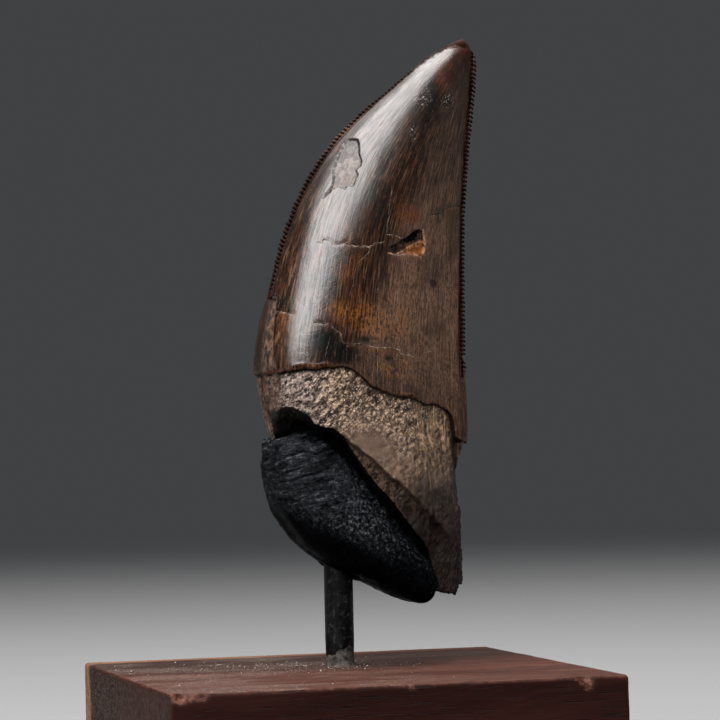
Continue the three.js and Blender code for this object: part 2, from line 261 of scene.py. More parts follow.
def closed_stack(rings):
    """Vertices, quads and end fans of a closed body through a stack of rings."""
    rows, count = rings.shape[:2]
    flat = np.vstack([rings.reshape(-1, 3), rings[0].mean(0), rings[-1].mean(0)])
    around = np.arange(count)
    following, last = (around + 1) % count, (rows - 1) * count
    low = np.stack([np.full(count, len(flat) - 2), following, around], -1)
    top = np.stack([np.full(count, len(flat) - 1), last + around, last + following], -1)
    return flat, grid_faces(rows, count), np.vstack([low, top])


def linked(name, data):
    """A new object in the scene."""
    obj = bpy.data.objects.new(name, data)
    bpy.context.scene.collection.objects.link(obj)
    return obj


def make_piece(name, points, quads, replaces, triangles, marks, offset=SPECIMEN):
    """A mesh piece in the row frame, riding on the root body and standing for a CAD node."""
    mesh = bpy.data.meshes.new(name)
    faces = [*map(tuple, quads.tolist()), *map(tuple, np.asarray(triangles).tolist())]
    mesh.from_pydata(((np.asarray(points, float) + offset) * MM).tolist(), [], faces)
    mesh.validate()
    mesh.update()
    mesh.shade_smooth()
    for label, values in marks.items():
        values = np.asarray(values, np.float32)
        kind, field = ("FLOAT_VECTOR", "vector") if values.ndim == 2 else ("FLOAT", "value")
        mesh.attributes.new(label, kind, "POINT").data.foreach_set(field, values.ravel())
    obj = linked(name, mesh)
    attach(obj, "root")
    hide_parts(replaces)
    return obj


def math_node(operation, swapped=False):
    """An operator that adds a Math node."""

    def work(a, b=0):
        return a.shader.out("Math", {0: b, 1: a} if swapped else {0: a, 1: b}, operation=operation)

    return work


class Value:
    """The output of a node. Arithmetic with it adds Math nodes."""

    __add__, __sub__, __mul__ = math_node("ADD"), math_node("SUBTRACT"), math_node("MULTIPLY")
    __truediv__, __abs__ = math_node("DIVIDE"), math_node("ABSOLUTE")
    __rsub__ = math_node("SUBTRACT", swapped=True)
    larger, smaller = math_node("MAXIMUM"), math_node("MINIMUM")

    def __init__(self, shader, socket):
        self.shader, self.socket = shader, socket

    def clamped(self):
        self.socket.node.use_clamp = True
        return self

    def ramp(self, low, high, to_low=0, to_high=1):
        """A smooth step between low and high."""
        inputs = {"Value": self, "From Min": low, "From Max": high, "To Min": to_low, "To Max": to_high}
        return self.shader.out("MapRange", inputs, interpolation_type="SMOOTHSTEP")

    def mix(self, a, b):
        """a where the value is 0 and b where it is 1."""
        return self.shader.mix(self, a, b)

    def shade(self, low, high, a, b):
        """a where the value is below low and b where it is above high."""
        return self.ramp(low, high).mix(a, b)


def most(*values):
    return functools.reduce(Value.larger, values)


class Shader:
    """A Principled material, the colour painted so far, and short names for the nodes that feed it."""

    def __init__(self, name):
        self.material = bpy.data.materials.new(name)
        self.material.use_nodes = True
        self.tree = self.material.node_tree
        self.principled = self.tree.nodes["Principled BSDF"]
        self.at = self.scaled(self.out("TexCoord", key="Object"), (1000, 1000, 1000))  # millimetres
        self.x, self.y, self.z = self.split(self.at)
        self.colour = None

    def plug(self, socket, value):
        value = getattr(value, "socket", value)
        if isinstance(value, bpy.types.NodeSocket):
            self.tree.links.new(value, socket)
        elif isinstance(value, tuple) and len(socket.default_value) == 4:
            socket.default_value = (*value, 1)
        else:
            socket.default_value = value

    def out(self, kind, inputs=None, key=0, **settings):
        """Adds a node and gives one of its outputs."""
        made = self.tree.nodes.new("ShaderNode" + kind)
        for name, value in settings.items():
            setattr(made, name, value)
        for name, value in (inputs or {}).items():
            self.plug(made.inputs[name], value)
        return Value(self, made.outputs[key])

    def mark(self, name, kind="Fac"):
        """A value that the mesh carries at each point."""
        return self.out("Attribute", key=kind, attribute_name=name)

    def marks(self, name):
        return self.split(self.mark(name, "Vector"))

    def split(self, vector):
        return [self.out("SeparateXYZ", {0: vector}, n) for n in range(3)]

    def scaled(self, vector, scale):
        return self.out("VectorMath", {0: vector, 1: scale}, operation="MULTIPLY")

    def turned(self, angle):
        """The place, turned about Y."""
        return self.out("VectorRotate", {"Vector": self.at, "Angle": angle}, rotation_type="Y_AXIS")

    def mix(self, share, a, b):
        return self.out("Mix", {0: share, 6: a, 7: b}, 2, data_type="RGBA")

    def paint(self, share, tint):
        """Lays a tint over the colour so far."""
        self.colour = self.mix(share, self.colour, tint)

    def noise(self, scale, detail, roughness, distortion=0, at=None):
        """Noise with a scale for all axes or one for each."""
        at = at or self.at
        if isinstance(scale, tuple):
            at, scale = self.scaled(at, scale), 1
        return self.out("TexNoise", {"Vector": at, "Scale": scale, "Detail": detail,
                                     "Roughness": roughness, "Distortion": distortion})

    def cells(self, scale):
        return self.out("TexVoronoi", {"Vector": self.at, "Scale": scale})

    def bump(self, height, distance, strength, normal=None):
        inputs = {"Height": height, "Distance": distance * MM, "Strength": strength}
        return self.out("Bump", inputs if normal is None else {**inputs, "Normal": normal})

    def finish(self, roughness, normal, **settings):
        settings.update(Base_Color=self.colour, Roughness=roughness, Normal=normal)
        for name, value in settings.items():
            self.plug(self.principled.inputs[name.replace("_", " ")], value)
        return self.material


# ---- marks on the enamel ----

# Cracks as lines from their left (or lower) end.
UPPER_CRACK = [
    [-4.8, 87.8], [-3.9, 87.9], [-3.5, 87.8], [-3.3, 88.3], [-2.5, 88.1], [-2, 87.6], [-1.2, 87.5],
    [-0.4, 87.8], [0, 87.4], [0.9, 87.2], [2.1, 87.2], [2.8, 87], [3.6, 87.6], [4.4, 87.7], [5.1, 87.8],
]
LOWER_CRACK = [
    [-5.3, 77], [-4.3, 76.9], [-3.2, 76.8], [-2.7, 76.2], [-2.3, 75.8], [-1.7, 75.5], [-1.6, 74.6],
    [-1.4, 74.2], [-0.7, 73.9], [0.7, 74.1], [2.1, 73.8], [3.6, 73.5], [5.4, 73.5], [7.2, 73.2],
    [7.4, 72.6], [8.8, 72.5], [9.6, 72.2], [10.4, 71.9], [11.3, 72.8], [12.8, 73.1],
]
LONG_CRACK = [
    [3.6, 70.6], [3.7, 71.9], [3.7, 73.4], [3.9, 75.8], [3.9, 77.9], [3.6, 80], [3.9, 81.8],
    [4.1, 83.7], [4.2, 85.3], [5.5, 89.6], [5.9, 92.3], [6.4, 95],
]
CURVED_CRACK = [
    [-4, 72.1], [-3.6, 73.7], [-3.2, 75.2], [-3, 76.6], [-1.8, 77], [-1.1, 77.5], [-0.9, 78.7],
    [0.2, 81.7], [0.5, 83.3], [1, 84.8], [1.8, 85.6], [2.7, 86.3],
]
CHIP_RIDGE = [[5.7, 86.3], [6.8, 86.1], [7.8, 86.5], [9, 87.2], [10.1, 87.7], [11, 88]]
SIDE_CRACKS = [
    [-9.8, 78.6], [-9.3, 78.7], [-8.7, 78.5], [-7.7, 78.3], [5.3, 88.8], [6.4, 88.7], [7.4, 88.4],
    [8.1, 88.2], [12.1, 91.6], [13, 91.8], [14.3, 91.9], [14.8, 92.5], [15.9, 92.9], [17.1, 93.2],
    [18.8, 93.2],
]

# The same kinds of mark on the unseen back.
BACK_UPPER = [[-3, 92], [-1, 91.6], [1.6, 92.2], [4.4, 91.5], [7, 91.9], [9.2, 91]]
BACK_LOWER = [
    [-8.6, 79.6], [-5.4, 79], [-3, 79.5], [0.2, 78.6], [3.4, 78.9], [6.4, 77.5], [10, 77.8],
    [13.2, 76.9],
]
BACK_UPRIGHT = [[2.2, 70], [2, 74.4], [2.4, 78.5], [7.1, 80.4], [7.8, 85.6], [8.2, 91.3]]
BACK_SIDE = [[12.6, 92.7], [13.8, 92.3], [15.4, 93], [16.8, 92.9], [18.3, 93.4]]

# Each crack: its line, where it is open, the same on the back, whether it runs upright, the ease
# with which it opens, and its depth.
CRACKS = [
    (UPPER_CRACK, [[-4.1, 5]], BACK_UPPER, [[-3, 9.2]], False, 0.5, 0.05),
    (LOWER_CRACK, [[-5.2, 10.5], [11, 12.8]], BACK_LOWER, [[-8.6, 13.2]], False, 0.5, 0.06),
    (LONG_CRACK, [[68.6, 73.6], [75.6, 85.4], [89.3, 95.4]],
     BACK_UPRIGHT, [[70, 78.5], [80.6, 86], [88.8, 91.3]], True, 0.5, 0.015),
    (CHIP_RIDGE, [[5.6, 11]], None, [], False, 0.5, 0.05),
    (CURVED_CRACK, [[72, 75.4], [77.2, 79.2], [80.6, 86.8]], None, [], True, 0.5, 0.02),
    (SIDE_CRACKS, [[-9.7, -7.4], [5.3, 8], [12.1, 19]], BACK_SIDE, [[12.6, 19]], False, 0.3, 0.07),
]

CHIP = [
    [5.4, 86.3], [5.7, 87.2], [6.8, 87.6], [7.9, 88.3], [9, 88.7], [10.4, 89.7], [11.1, 89.6],
    [11.4, 88.1], [11.4, 86.8], [10.8, 85.7], [10.1, 86.1], [8.5, 86.2], [6.9, 86],
]
CHIP_HOLE = [
    [8.1, 88], [8.9, 88.7], [9.9, 89.6], [10.8, 89.5], [11, 88.4], [10.1, 88], [9.1, 87.7], [8.3, 87.7],
]
SCAR = [
    [1.9, 102.1], [2.5, 102], [2.6, 101.4], [2.4, 99.9], [2.6, 98.9], [2.4, 98.3], [1.7, 97.7],
    [1.9, 97], [1.7, 96.6], [1.2, 95.5], [0.4, 95.6], [0.1, 95.1], [-0.7, 95.5], [-1.7, 95.1],
    [-2.7, 94], [-1.8, 94.7], [-1.2, 96], [-0.9, 97.8], [-0.5, 98.8], [0.2, 100.3], [1.1, 101.7],
    [1.6, 102.1],
]
BACK_SCAR = [[5, 84.2], [7.4, 84.6], [8.6, 86], [7.9, 88], [6, 88.4], [4.4, 87.2], [4.1, 85.2]]
MESIAL_STRIP = [
    [-13, 63], [-10.5, 63], [-10.3, 66.2], [-10.1, 68.2], [-10, 70.4], [-10.3, 73], [-10, 76.1],
    [-9.6, 78.4], [-9, 80.6], [-13, 82],
]
OUTLINES = [(CHIP, None), (CHIP_HOLE, None), (SCAR, BACK_SCAR), (MESIAL_STRIP, None)]  # front, back

# Soft patches of colour: x, z, half-width, half-height, strength.
AMBER = [
    [5.3, 70.3, 0.5, 1.2, 0.9], [7.4, 69.8, 1.6, 0.45, 0.9], [8, 71.6, 0.6, 0.5, 0.8],
    [10.6, 74.3, 1, 0.8, 0.6], [-2.3, 78.7, 1.5, 1.1, 0.8], [0.5, 78.1, 2.2, 1.4, 1],
    [3, 77.7, 1.8, 1.8, 1.1], [4.8, 76.7, 1.8, 2.2, 0.9], [7.9, 77.7, 1.2, 2.2, 1],
    [7.5, 75.6, 1.2, 1.2, 0.8], [2.1, 76, 2.6, 1, 0.7], [7, 70.9, 2.4, 0.8, 0.8],
    [3.8, 71.1, 0.8, 1.2, 0.7], [10.1, 87.1, 1, 0.8, 0.8], [10.4, 82.6, 1.2, 2.6, 0.5],
    [-8.7, 77.7, 1, 1.2, 0.5], [-9.3, 74.6, 0.8, 2.6, 0.25], [-6.8, 86.7, 0.8, 3.1, 0.2],
    [-8.2, 82.9, 0.8, 2.4, 0.15], [-1, 84.1, 1.2, 2, 0.5], [1.6, 85.3, 1.2, 1.2, 0.4],
    [-0.3, 87.6, 0.8, 1, 0.4], [8.1, 91.3, 1.2, 2.4, 0.35],
]
BLACK = [
    [9.8, 72.3, 0.5, 0.35, 0.8], [11.4, 70.4, 0.7, 0.5, 0.6], [12.8, 82.4, 0.42, 0.32, 1.5],
    [12.9, 79, 0.7, 0.4, 0.7], [11.6, 75.4, 0.8, 0.5, 0.9], [-4.1, 74.5, 2.2, 1.6, 1.3],
    [-0.9, 72.5, 2.9, 1.2, 1.3], [1.9, 74.6, 1.2, 0.6, 1.1], [-2.9, 82.2, 1, 1.8, 0.8],
    [-1.7, 86.1, 1.2, 1, 0.7], [5.4, 72.1, 1, 0.6, 1.2], [9.6, 74.6, 1.1, 0.7, 0.8],
    [12.8, 82.2, 0.6, 0.6, 1.5], [1.3, 93.7, 0.8, 2.6, 0.6], [5.3, 79.1, 1.4, 1.2, 0.7],
    [4.2, 83.3, 1, 2.9, 0.5], [4.4, 92.3, 1.2, 3.1, 0.6], [-8.9, 79.7, 0.8, 1, 1],
    [13, 85.8, 1.2, 1.2, 0.4], [12.6, 94, 1.4, 1.6, 0.4], [2.2, 89.7, 2.2, 1.4, 0.5],
    [13.3, 108, 0.9, 2.2, 1], [12.3, 104.4, 1.2, 2.4, 0.6], [15.9, 111.6, 1, 1.6, 0.6],
]
RED = [
    [9.4, 91.4, 1.6, 1.2, 1.3], [16.2, 112.2, 0.5, 1.8, 0.8], [3.6, 73.1, 1.2, 0.5, 1],
    [6.1, 73, 1.2, 0.4, 1], [0.6, 80.8, 0.8, 1.2, 0.6], [0.3, 83.5, 0.6, 2, 0.5],
    [1.1, 91.1, 2.4, 2.2, 0.35], [18.6, 115.2, 1.7, 1.1, 1.2], [14.9, 110.7, 0.9, 1.9, 1],
]
PECKED = [
    [11.9, 107.4, 1, 0.8, 1.1], [15.8, 107.5, 0.9, 1.2, 1], [10.1, 102.8, 0.5, 1.1, 0.9],
    [12.7, 108.6, 0.5, 0.8, 0.6],
]
NOTCH = np.array([18.6, 0.0, 72.1])
FAR = 3.0  # distances to marks are cut off here


def patches(points, spots):
    total = np.zeros(len(points))
    for x, z, wide, high, strength in spots:
        total += strength * bell(points[:, 0], x, wide) * bell(points[:, 1], z, high)
    return total


def enamel_marks(points, front):
    """Offsets to each crack and outline, and the soft patches, for points on the enamel."""
    flat = points[:, [0, 2]]
    offsets, opens = [], []
    for ahead, spans, behind, back_spans, upright, ease, _ in CRACKS:
        run = flat[:, int(upright)]
        far = line_offset(flat, behind, upright) if behind else FAR
        offsets.append(np.where(front, line_offset(flat, ahead, upright), far))
        opens.append(np.where(front, windows(run, spans, ease), windows(run, back_spans, ease)))
    outlines = [
        np.where(front, inside_by(flat, ahead), inside_by(flat, behind) if behind else -FAR)
        for ahead, behind in OUTLINES
    ]
    mirrored = flat * [-1, 1] + [8, 3]
    tones = [np.where(front, patches(flat, t), patches(mirrored, t)) for t in (AMBER, BLACK, RED)]
    offsets, outlines = (np.stack(values, -1).clip(-FAR, FAR) for values in (offsets, outlines))
    return offsets, np.stack(opens, -1), outlines, np.stack(tones, -1)


# ---- the crown ----

CROWN_FRONT, CROWN_BACK, CROWN_ROWS = 190, 70, 365
CROWN_TOP = 0.9995  # share of the length at which the rows end, just under the tip
CROWN_TUCKS = (1.6, 0.9, 0.5)  # insets of the hidden rows that run in under the enamel's base
CARINA_REACH = 1.3  # the serrated strips cover the crown this far in from each edge
SERRATED = {"mesial": (0.35, 0.82), "distal": (0.335, 0.965)}  # share of the tooth's length
LIPS = [[-8.4, -2.8, 0.5], [6.4, 10.4, 0.4]]  # where the enamel's base curls out: x from, x to, height


def pecked(points):
    """The small pecked spots near the tip."""
    return patches(points[:, [0, 2]], PECKED)


def notched(points):
    """The notch in the distal edge."""
    return smooth(0.8, 0.15, np.linalg.norm(points - NOTCH, axis=-1))


def lips(points, rise, front):
    """The pale curled edges just above the enamel's base."""
    total = np.zeros(len(points))
    for low, high, height in LIPS:
        height = height * (1 + 0.25 * rough(points, 1.6, 2, 57))
        total = np.maximum(total, windows(points[:, 0], [[low, high]], 1.2) * bell(rise, height, 0.24))
    return total * front


def crown_relief(flat, along, gaps, front, rise):
    """How far the worn, cracked surface lies outside (above 0) the smooth form, and the marks on it."""
    offsets, opens, outlines, tones = enamel_marks(flat, front)
    chip, hole, scar, strip = outlines.T
    x, _, z = flat.T
    relief = 0.07 * rough(flat, (9, 9, 14), 2, 31)
    relief += 0.02 * noise(flat, (1.6, 3, 9), 37) + 0.006 * noise(flat, (0.5, 0.9, 4), 41)
    relief -= (bell(offsets, 0, 0.26) * opens) @ np.array([crack[-1] for crack in CRACKS])
    relief -= 0.22 * smooth(-0.12, 0.12, scar) * (1 + 0.3 * rough(flat, 1.1, 3, 43))
    relief -= 0.32 * smooth(-0.15, 0.25, chip) + 0.45 * smooth(-0.15, 0.35, hole)
    relief -= 0.34 * smooth(-0.15, 0.15, strip) * (1 + 0.5 * rough(flat, 1.3, 3, 47))
    relief -= 0.14 * np.clip(pits(flat, 0.7, 53, 0.7) * pecked(flat), 0, 1) * front
    curl = lips(flat, rise, front)
    under = windows(x, [span[:2] for span in LIPS], 1.2) * bell(rise, 0, 0.4) * front
    relief += 0.12 * curl * (0.6 + 1.2 * rough(flat, 0.7, 3, 71)) - 0.1 * under
    relief -= 0.14 * (1 - smooth(0, 0.3, rise)) ** 2
    relief += 0.1 * bell(rise, 0, 0.9) * rough(flat, 1.3, 3, 59)
    relief += 0.3 * smooth(113.2, 115.2, z) * smooth(17.0, 19.5, x)
    relief += 0.5 * bell(z, 113.4, 1.9) * smooth(2.4, 0.3, gaps[0])
    strips = [smooth(CARINA_REACH * 0.85, CARINA_REACH * 0.6, gap) for gap in gaps]
    for near, (low, high) in zip(strips, SERRATED.values()):
        span = smooth(low - 0.01, low + 0.01, along) * smooth(high + 0.01, high - 0.01, along)
        relief -= 0.2 * near * span
    bite = np.clip(rough(flat, 0.9, 3, 61) + 0.1, 0, 1)
    relief -= 0.4 * bite * strips[0] * smooth(0.68, 0.78, along) * smooth(0.97, 0.93, along)
    return relief - 0.6 * notched(flat), (offsets, opens, outlines, tones, curl)


def build_crown():
    front = np.linspace(0, math.pi, CROWN_FRONT, endpoint=False)
    angles = np.append(front, np.linspace(math.pi, 2 * math.pi, CROWN_BACK, endpoint=False))
    edge = enamel_edge(angles)
    up = np.linspace(0, 1, CROWN_ROWS)
    up = up + 0.35 * (up - up**2) ** 2 * (1 - 2 * up)
    along = edge + (CROWN_TOP - edge) * up[:, None]
    angle = np.broadcast_to(angles, along.shape)
    base = tooth_point(along, angle)
    flat = base.reshape(-1, 3)
    front, rise = (np.sin(angle) > 0).ravel(), ((along - edge) * TOOTH_LENGTH).ravel()
    gaps = [gap.ravel() for gap in edge_gaps(base, along)]
    relief, marks = crown_relief(flat, along.ravel(), gaps, front, rise)
    skin = base + outward(base) * relief.reshape(along.shape)[..., None]
    hidden = [tooth_point(edge, angles, inset) for inset in CROWN_TUCKS]
    points, quads, fans = closed_stack(np.concatenate([np.stack(hidden), skin]))
    points[-1, 2] += 0.05

    def carried(values):
        """A mark's values for the whole mesh: the hidden rows take the lowest skin row's."""
        below = np.concatenate([values[: len(angles)]] * len(hidden))
        return np.concatenate([below, values, values[:1], values[-1:]])

    offsets, opens, outlines, tones, curl = marks
    across = ((1 - np.cos(angle)) / 2).ravel()
    grain = [across * 27 + np.where(front, 0, 80), along.ravel() * TOOTH_LENGTH, flat[:, 1]]
    named = {
        "cracks_a": offsets[:, :3], "cracks_b": offsets[:, 3:], "opens_a": opens[:, :3],
        "opens_b": opens[:, 3:], "outlines": outlines[:, :3], "strip": outlines[:, 3], "tones": tones,
        "grain": np.stack(grain, -1), "rise": rise, "curl": curl,
        "edges": np.stack([*gaps, across], -1), "pecked": (pecked(flat) * front).clip(0, 1),
    }
    named = {name: carried(values) for name, values in named.items()}
    return make_piece("tooth_crown", points, quads, "tooth", fans, named)


# ---- the serrated edges ----

DENTICLE_PITCH = 0.6
DENTICLE_HEIGHT = {"mesial": 0.42, "distal": 0.26}
DENTICLE_ROWS = 14  # rows along each denticle


def build_serration(name):
    """The row of denticles along one edge, as one ridge that is sunk into the crown."""
    mesial = name == "mesial"
    centre, turn, start = (0, 1, 0) if mesial else (math.pi, -1, 2)
    fine = np.linspace(*SERRATED[name], 4000)
    edge = station(fine)[:, start : start + 2]
    length = np.append(0, np.cumsum(np.linalg.norm(np.diff(edge, axis=0), axis=1)))
    count = int(length[-1] / DENTICLE_PITCH)
    place = np.linspace(0, count * DENTICLE_PITCH, count * DENTICLE_ROWS + 1)
    along = np.interp(place, length, fine)
    number, phase = np.divmod(place / DENTICLE_PITCH, 1)
    crest = smooth(0.06, 0.3, phase) * smooth(0.94, 0.7, phase)
    ends = smooth(0, 2.0, place) * smooth(place[-1], place[-1] - 2.0, place)
    tall = ends * (0.7 + 0.45 * lattice(number.astype(np.int64), 3, 5, 71))
    if mesial:
        tall = tall * (1 - 0.7 * smooth(0.66, 0.72, along)) * smooth(0.35, 0.41, along)

    # Lines across the edge, evenly spaced on the crown's surface to each side of it.
    half = np.append(np.linspace(0.084, 0.42, 5), np.linspace(0.5, CARINA_REACH, 7))
    across = np.concatenate([-half[::-1], [0], half])
    angles = (centre + turn * np.linspace(-0.9, 0.9, 319)) % (2 * math.pi)
    rings = tooth_point(along[:, None], angles)
    reach = np.cumsum(np.linalg.norm(np.diff(rings, axis=1), axis=-1), axis=1)
    reach = np.pad(reach, ((0, 0), (1, 0))) - reach[:, [len(angles) // 2 - 1]]
    base = np.stack([[np.interp(across, r, axis) for axis in ring.T] for r, ring in zip(reach, rings)])
    base = base.transpose(0, 2, 1)

    s = station(along)
    chord = (s[:, 0:2] - s[:, 2:4]) * turn
    out = np.insert(chord / np.linalg.norm(chord, axis=1, keepdims=True), 1, 0, axis=1)[:, None]
    away = np.abs(across)
    toward = smooth(0.75, 0.1, away)[:, None]
    lean = out * toward + np.sign(base[..., 1:2]) * np.array([0, 1, 0]) * (1 - toward)
    lean /= np.linalg.norm(lean, axis=-1, keepdims=True)
    cut = ((1 - crest) * ends)[:, None]
    height = 0.03 + DENTICLE_HEIGHT[name] * smooth(0.72, 0.26, away) * (crest * tall)[:, None]
    height = height - 0.16 * smooth(CARINA_REACH * 0.85, 0.5, away) * cut
    height = height - 0.16 * smooth(0.92, 1.0, away / CARINA_REACH) - 0.6 * notched(base)
    points = base + lean * height[..., None]
    inner = points[:, [0, -1]].mean(1, keepdims=True) - out * 0.5
    ring = np.concatenate([points, inner], axis=1)
    rows, columns = ring.shape[:2]
    c = np.arange(columns - 2)
    fan = np.stack([np.full(len(c), columns - 1), c, c + 1], -1)
    grain = np.stack(np.broadcast_arrays(
        np.abs(ring[..., 1]) * 2 + (0 if mesial else 27), along[:, None] * TOOTH_LENGTH, ring[..., 1]), -1)
    named = {
        "crest": 1 - np.pad(cut * smooth(1.0, 0.7, away), ((0, 0), (0, 1))).ravel(),
        "grain": grain.reshape(-1, 3),
    }
    caps = np.vstack([fan[:, ::-1], fan + (rows - 1) * columns])
    flat, quads = ring.reshape(-1, 3), grid_faces(rows, columns)
    return make_piece(f"serration_{name}", flat, quads, "tooth", caps, named)


# ---- the root ----

LOWER_BREAK = [
    [-0.3, 59.9], [1.3, 57.7], [2.3, 56.3], [3.7, 54.7], [5, 53.5], [6, 52.5], [7.1, 50.9], [8.3, 49.6],
    [9.2, 48.4], [10.8, 47], [11.6, 45.6], [12, 43.4], [12.3, 40], [12.9, 39.8], [14.4, 39.9],
    [14.9, 39.4], [15.5, 39.4], [16.1, 41], [18.5, 41.1],
]
BREAK_FRONT = np.array([
    [-12, 64.8], [-10.4, 65.7], [-9.7, 65.3], [-9.1, 65.8], [-8.1, 65.8], [-7.1, 65.3], [-5.9, 64.4],
    [-5.3, 63.5], [-4.1, 63], [-2.8, 62.8], [-1.2, 61.5], *LOWER_BREAK,
])
BREAK_BACK = np.array([
    [-9.6, 59.4], [-8.8, 59], [-8, 59.4], [-6, 60.4], [-3.4, 60.8], [-1.2, 60.9], *LOWER_BREAK,
])
LEDGE_LINE = [
    [-1.6, 61.6], [0.5, 60.1], [1.7, 59.2], [3.7, 57.5], [5, 56.3], [6.8, 55], [8.4, 53.2], [9.7, 52.2],
    [11.1, 50.5], [12.7, 49.3], [14.4, 47.4], [15, 48.4], [15.9, 49.4], [17.2, 51.2], [20, 51.6],
    [20, 38], [6, 38], [-4, 54],
]
BACK_LEDGE = [
    [-4, 63], [1, 60.6], [5.4, 56.2], [10, 52.6], [12.8, 50], [15, 49.6], [17.2, 51.2], [20, 51.6],
    [20, 38], [6, 38], [-6, 56],
]
ROOT_SIDE = np.array([[40, 0.5], [51.5, 0.45], [52.1, 0], [56, -0.35], [60.2, -0.65], [66, -0.65]])
SMOOTH_PATCH = [[2.1, 60.2, 4.2, 3, 1], [6, 56.6, 2.6, 2.6, 0.6]]
ROOT_COLUMNS, ROOT_ROWS, BREAK_CELLS = 230, 140, 36
ROOT_TUCK = 0.022  # how far the root runs up inside the enamel, as a share of the length
ROOT_SLANT = math.radians(38)  # the root's pits and fibres run down to the right


def tilt(angle):
    """A matrix that turns points, as rows, about Y."""
    c, s = math.cos(angle), math.sin(angle)
    return np.array([[c, 0, -s], [0, 1, 0], [s, 0, c]])


def break_along(angles, inset, clearance=0.0):
    """The share of the length at which each line up the tooth leaves the broken part."""
    shares = np.linspace(0, 0.3, 900)
    line = tooth_point(shares[:, None], angles, inset)
    heights = [np.interp(line[..., 0], *edge.T) for edge in (BREAK_FRONT, BREAK_BACK)]
    under = line[..., 2] < np.where(np.sin(angles) > 1e-6, *heights) - clearance
    last = np.where(under.any(0), len(under) - 1 - np.argmax(under[::-1], axis=0), 0)
    return shares[last]


def root_relief(flat, front):
    """The root's pitted, fibrous surface and the step along its broken edge."""
    plane, x = flat[:, [0, 2]], flat[:, 0]
    ledge = np.where(front, inside_by(plane, LEDGE_LINE), inside_by(plane, BACK_LEDGE)).clip(-FAR, FAR)
    ledge = ledge + 0.35 * rough(flat, 1.8, 3, 83)
    shifted = plane + [3, -4]
    worn = np.where(front, patches(plane, SMOOTH_PATCH), patches(shifted, SMOOTH_PATCH)).clip(0, 1)
    keen = 1 - 0.8 * worn
    fibres = smooth(6.0, 12.0, x + 0.25 * (62 - flat[:, 2]))
    turned = flat @ tilt(ROOT_SLANT)
    relief = 0.16 * rough(flat, 5.5, 2, 89)
    relief += 0.13 * keen * (1 - 0.4 * fibres) * rough(flat, (1.5, 1.5, 1.2), 3, 97, 0.6)
    relief += 0.2 * keen * (1 - 0.5 * fibres) * rough(turned, (1.5, 1.2, 0.62), 2, 103, 0.6)
    relief -= 0.3 * keen * (1 - 0.6 * fibres) * pits(turned, (1.4, 1.4, 1.0), 101, 0.75)
    relief -= 0.14 * keen * pits(flat, 0.8, 107, 0.6)
    relief += 0.09 * keen * rough(turned, (0.8, 0.7, 0.45), 2, 109, 0.6)
    relief += 0.11 * fibres * rough(flat, (0.6, 0.8, 4.0), 3, 113)
    step, sunk = smooth(-0.12, 0.25, ledge), smooth(15.5, 12.5, x)
    relief -= step * (0.95 * sunk + 0.4 * rough(flat, (1.2, 1.2, 1.6), 4, 127, 0.75))
    relief -= 0.25 * step * pits(flat, (1.2, 1.2, 1.6), 109, 0.7)
    return relief, ledge, worn, fibres


def capped(skin, half, cells, shape=None):
    """Closes a grid of rings at both ends with sheets that run from front to back."""
    rows, count = skin.shape[:2]
    points, quads, total = [skin.reshape(-1, 3)], [grid_faces(rows, count)], rows * count
    share = np.linspace(0, 1, cells + 1)[1:-1, None]
    for row in (0, rows - 1):
        fronts, backs = skin[row][1:half], skin[row][count - 1 : half : -1]
        inner = fronts + (backs - fronts) * share[..., None]
        if shape is not None and row == 0:
            inner = inner + shape(inner, np.sin(share * math.pi) ** 0.5)
        ids = np.vstack([
            row * count + np.arange(1, half),
            total + np.arange(len(share) * (half - 1)).reshape(len(share), half - 1),
            row * count + np.arange(count - 1, half, -1),
        ])
        points.append(inner.reshape(-1, 3))
        total += inner.shape[0] * inner.shape[1]
        nose = np.full((len(ids), 1), row * count)
        ids = np.hstack([nose, ids, nose + half])
        cap = np.stack([ids[:-1, :-1], ids[1:, :-1], ids[1:, 1:], ids[:-1, 1:]], -1).reshape(-1, 4)
        quads.append(cap[:, ::-1] if row else cap)
    quads = np.vstack(quads)
    whole = np.array([len(set(q)) == 4 for q in quads.tolist()])
    triangles = [list(dict.fromkeys(q)) for q in quads[~whole].tolist()]
    return np.vstack(points), quads[whole], np.array([t for t in triangles if len(t) == 3])


def round_angles(half):
    front = np.linspace(0, math.pi, half, endpoint=False)
    return np.append(front, math.pi + front)


def torn(points, fade):
    """The uneven face of the break."""
    push = np.zeros(points.shape)
    push[..., 0] = 0.35 * fade * rough(points, 2.0, 3, 131)
    push[..., 2] = 0.9 * fade * (0.25 + rough(points, 2.4, 4, 137))
    return push


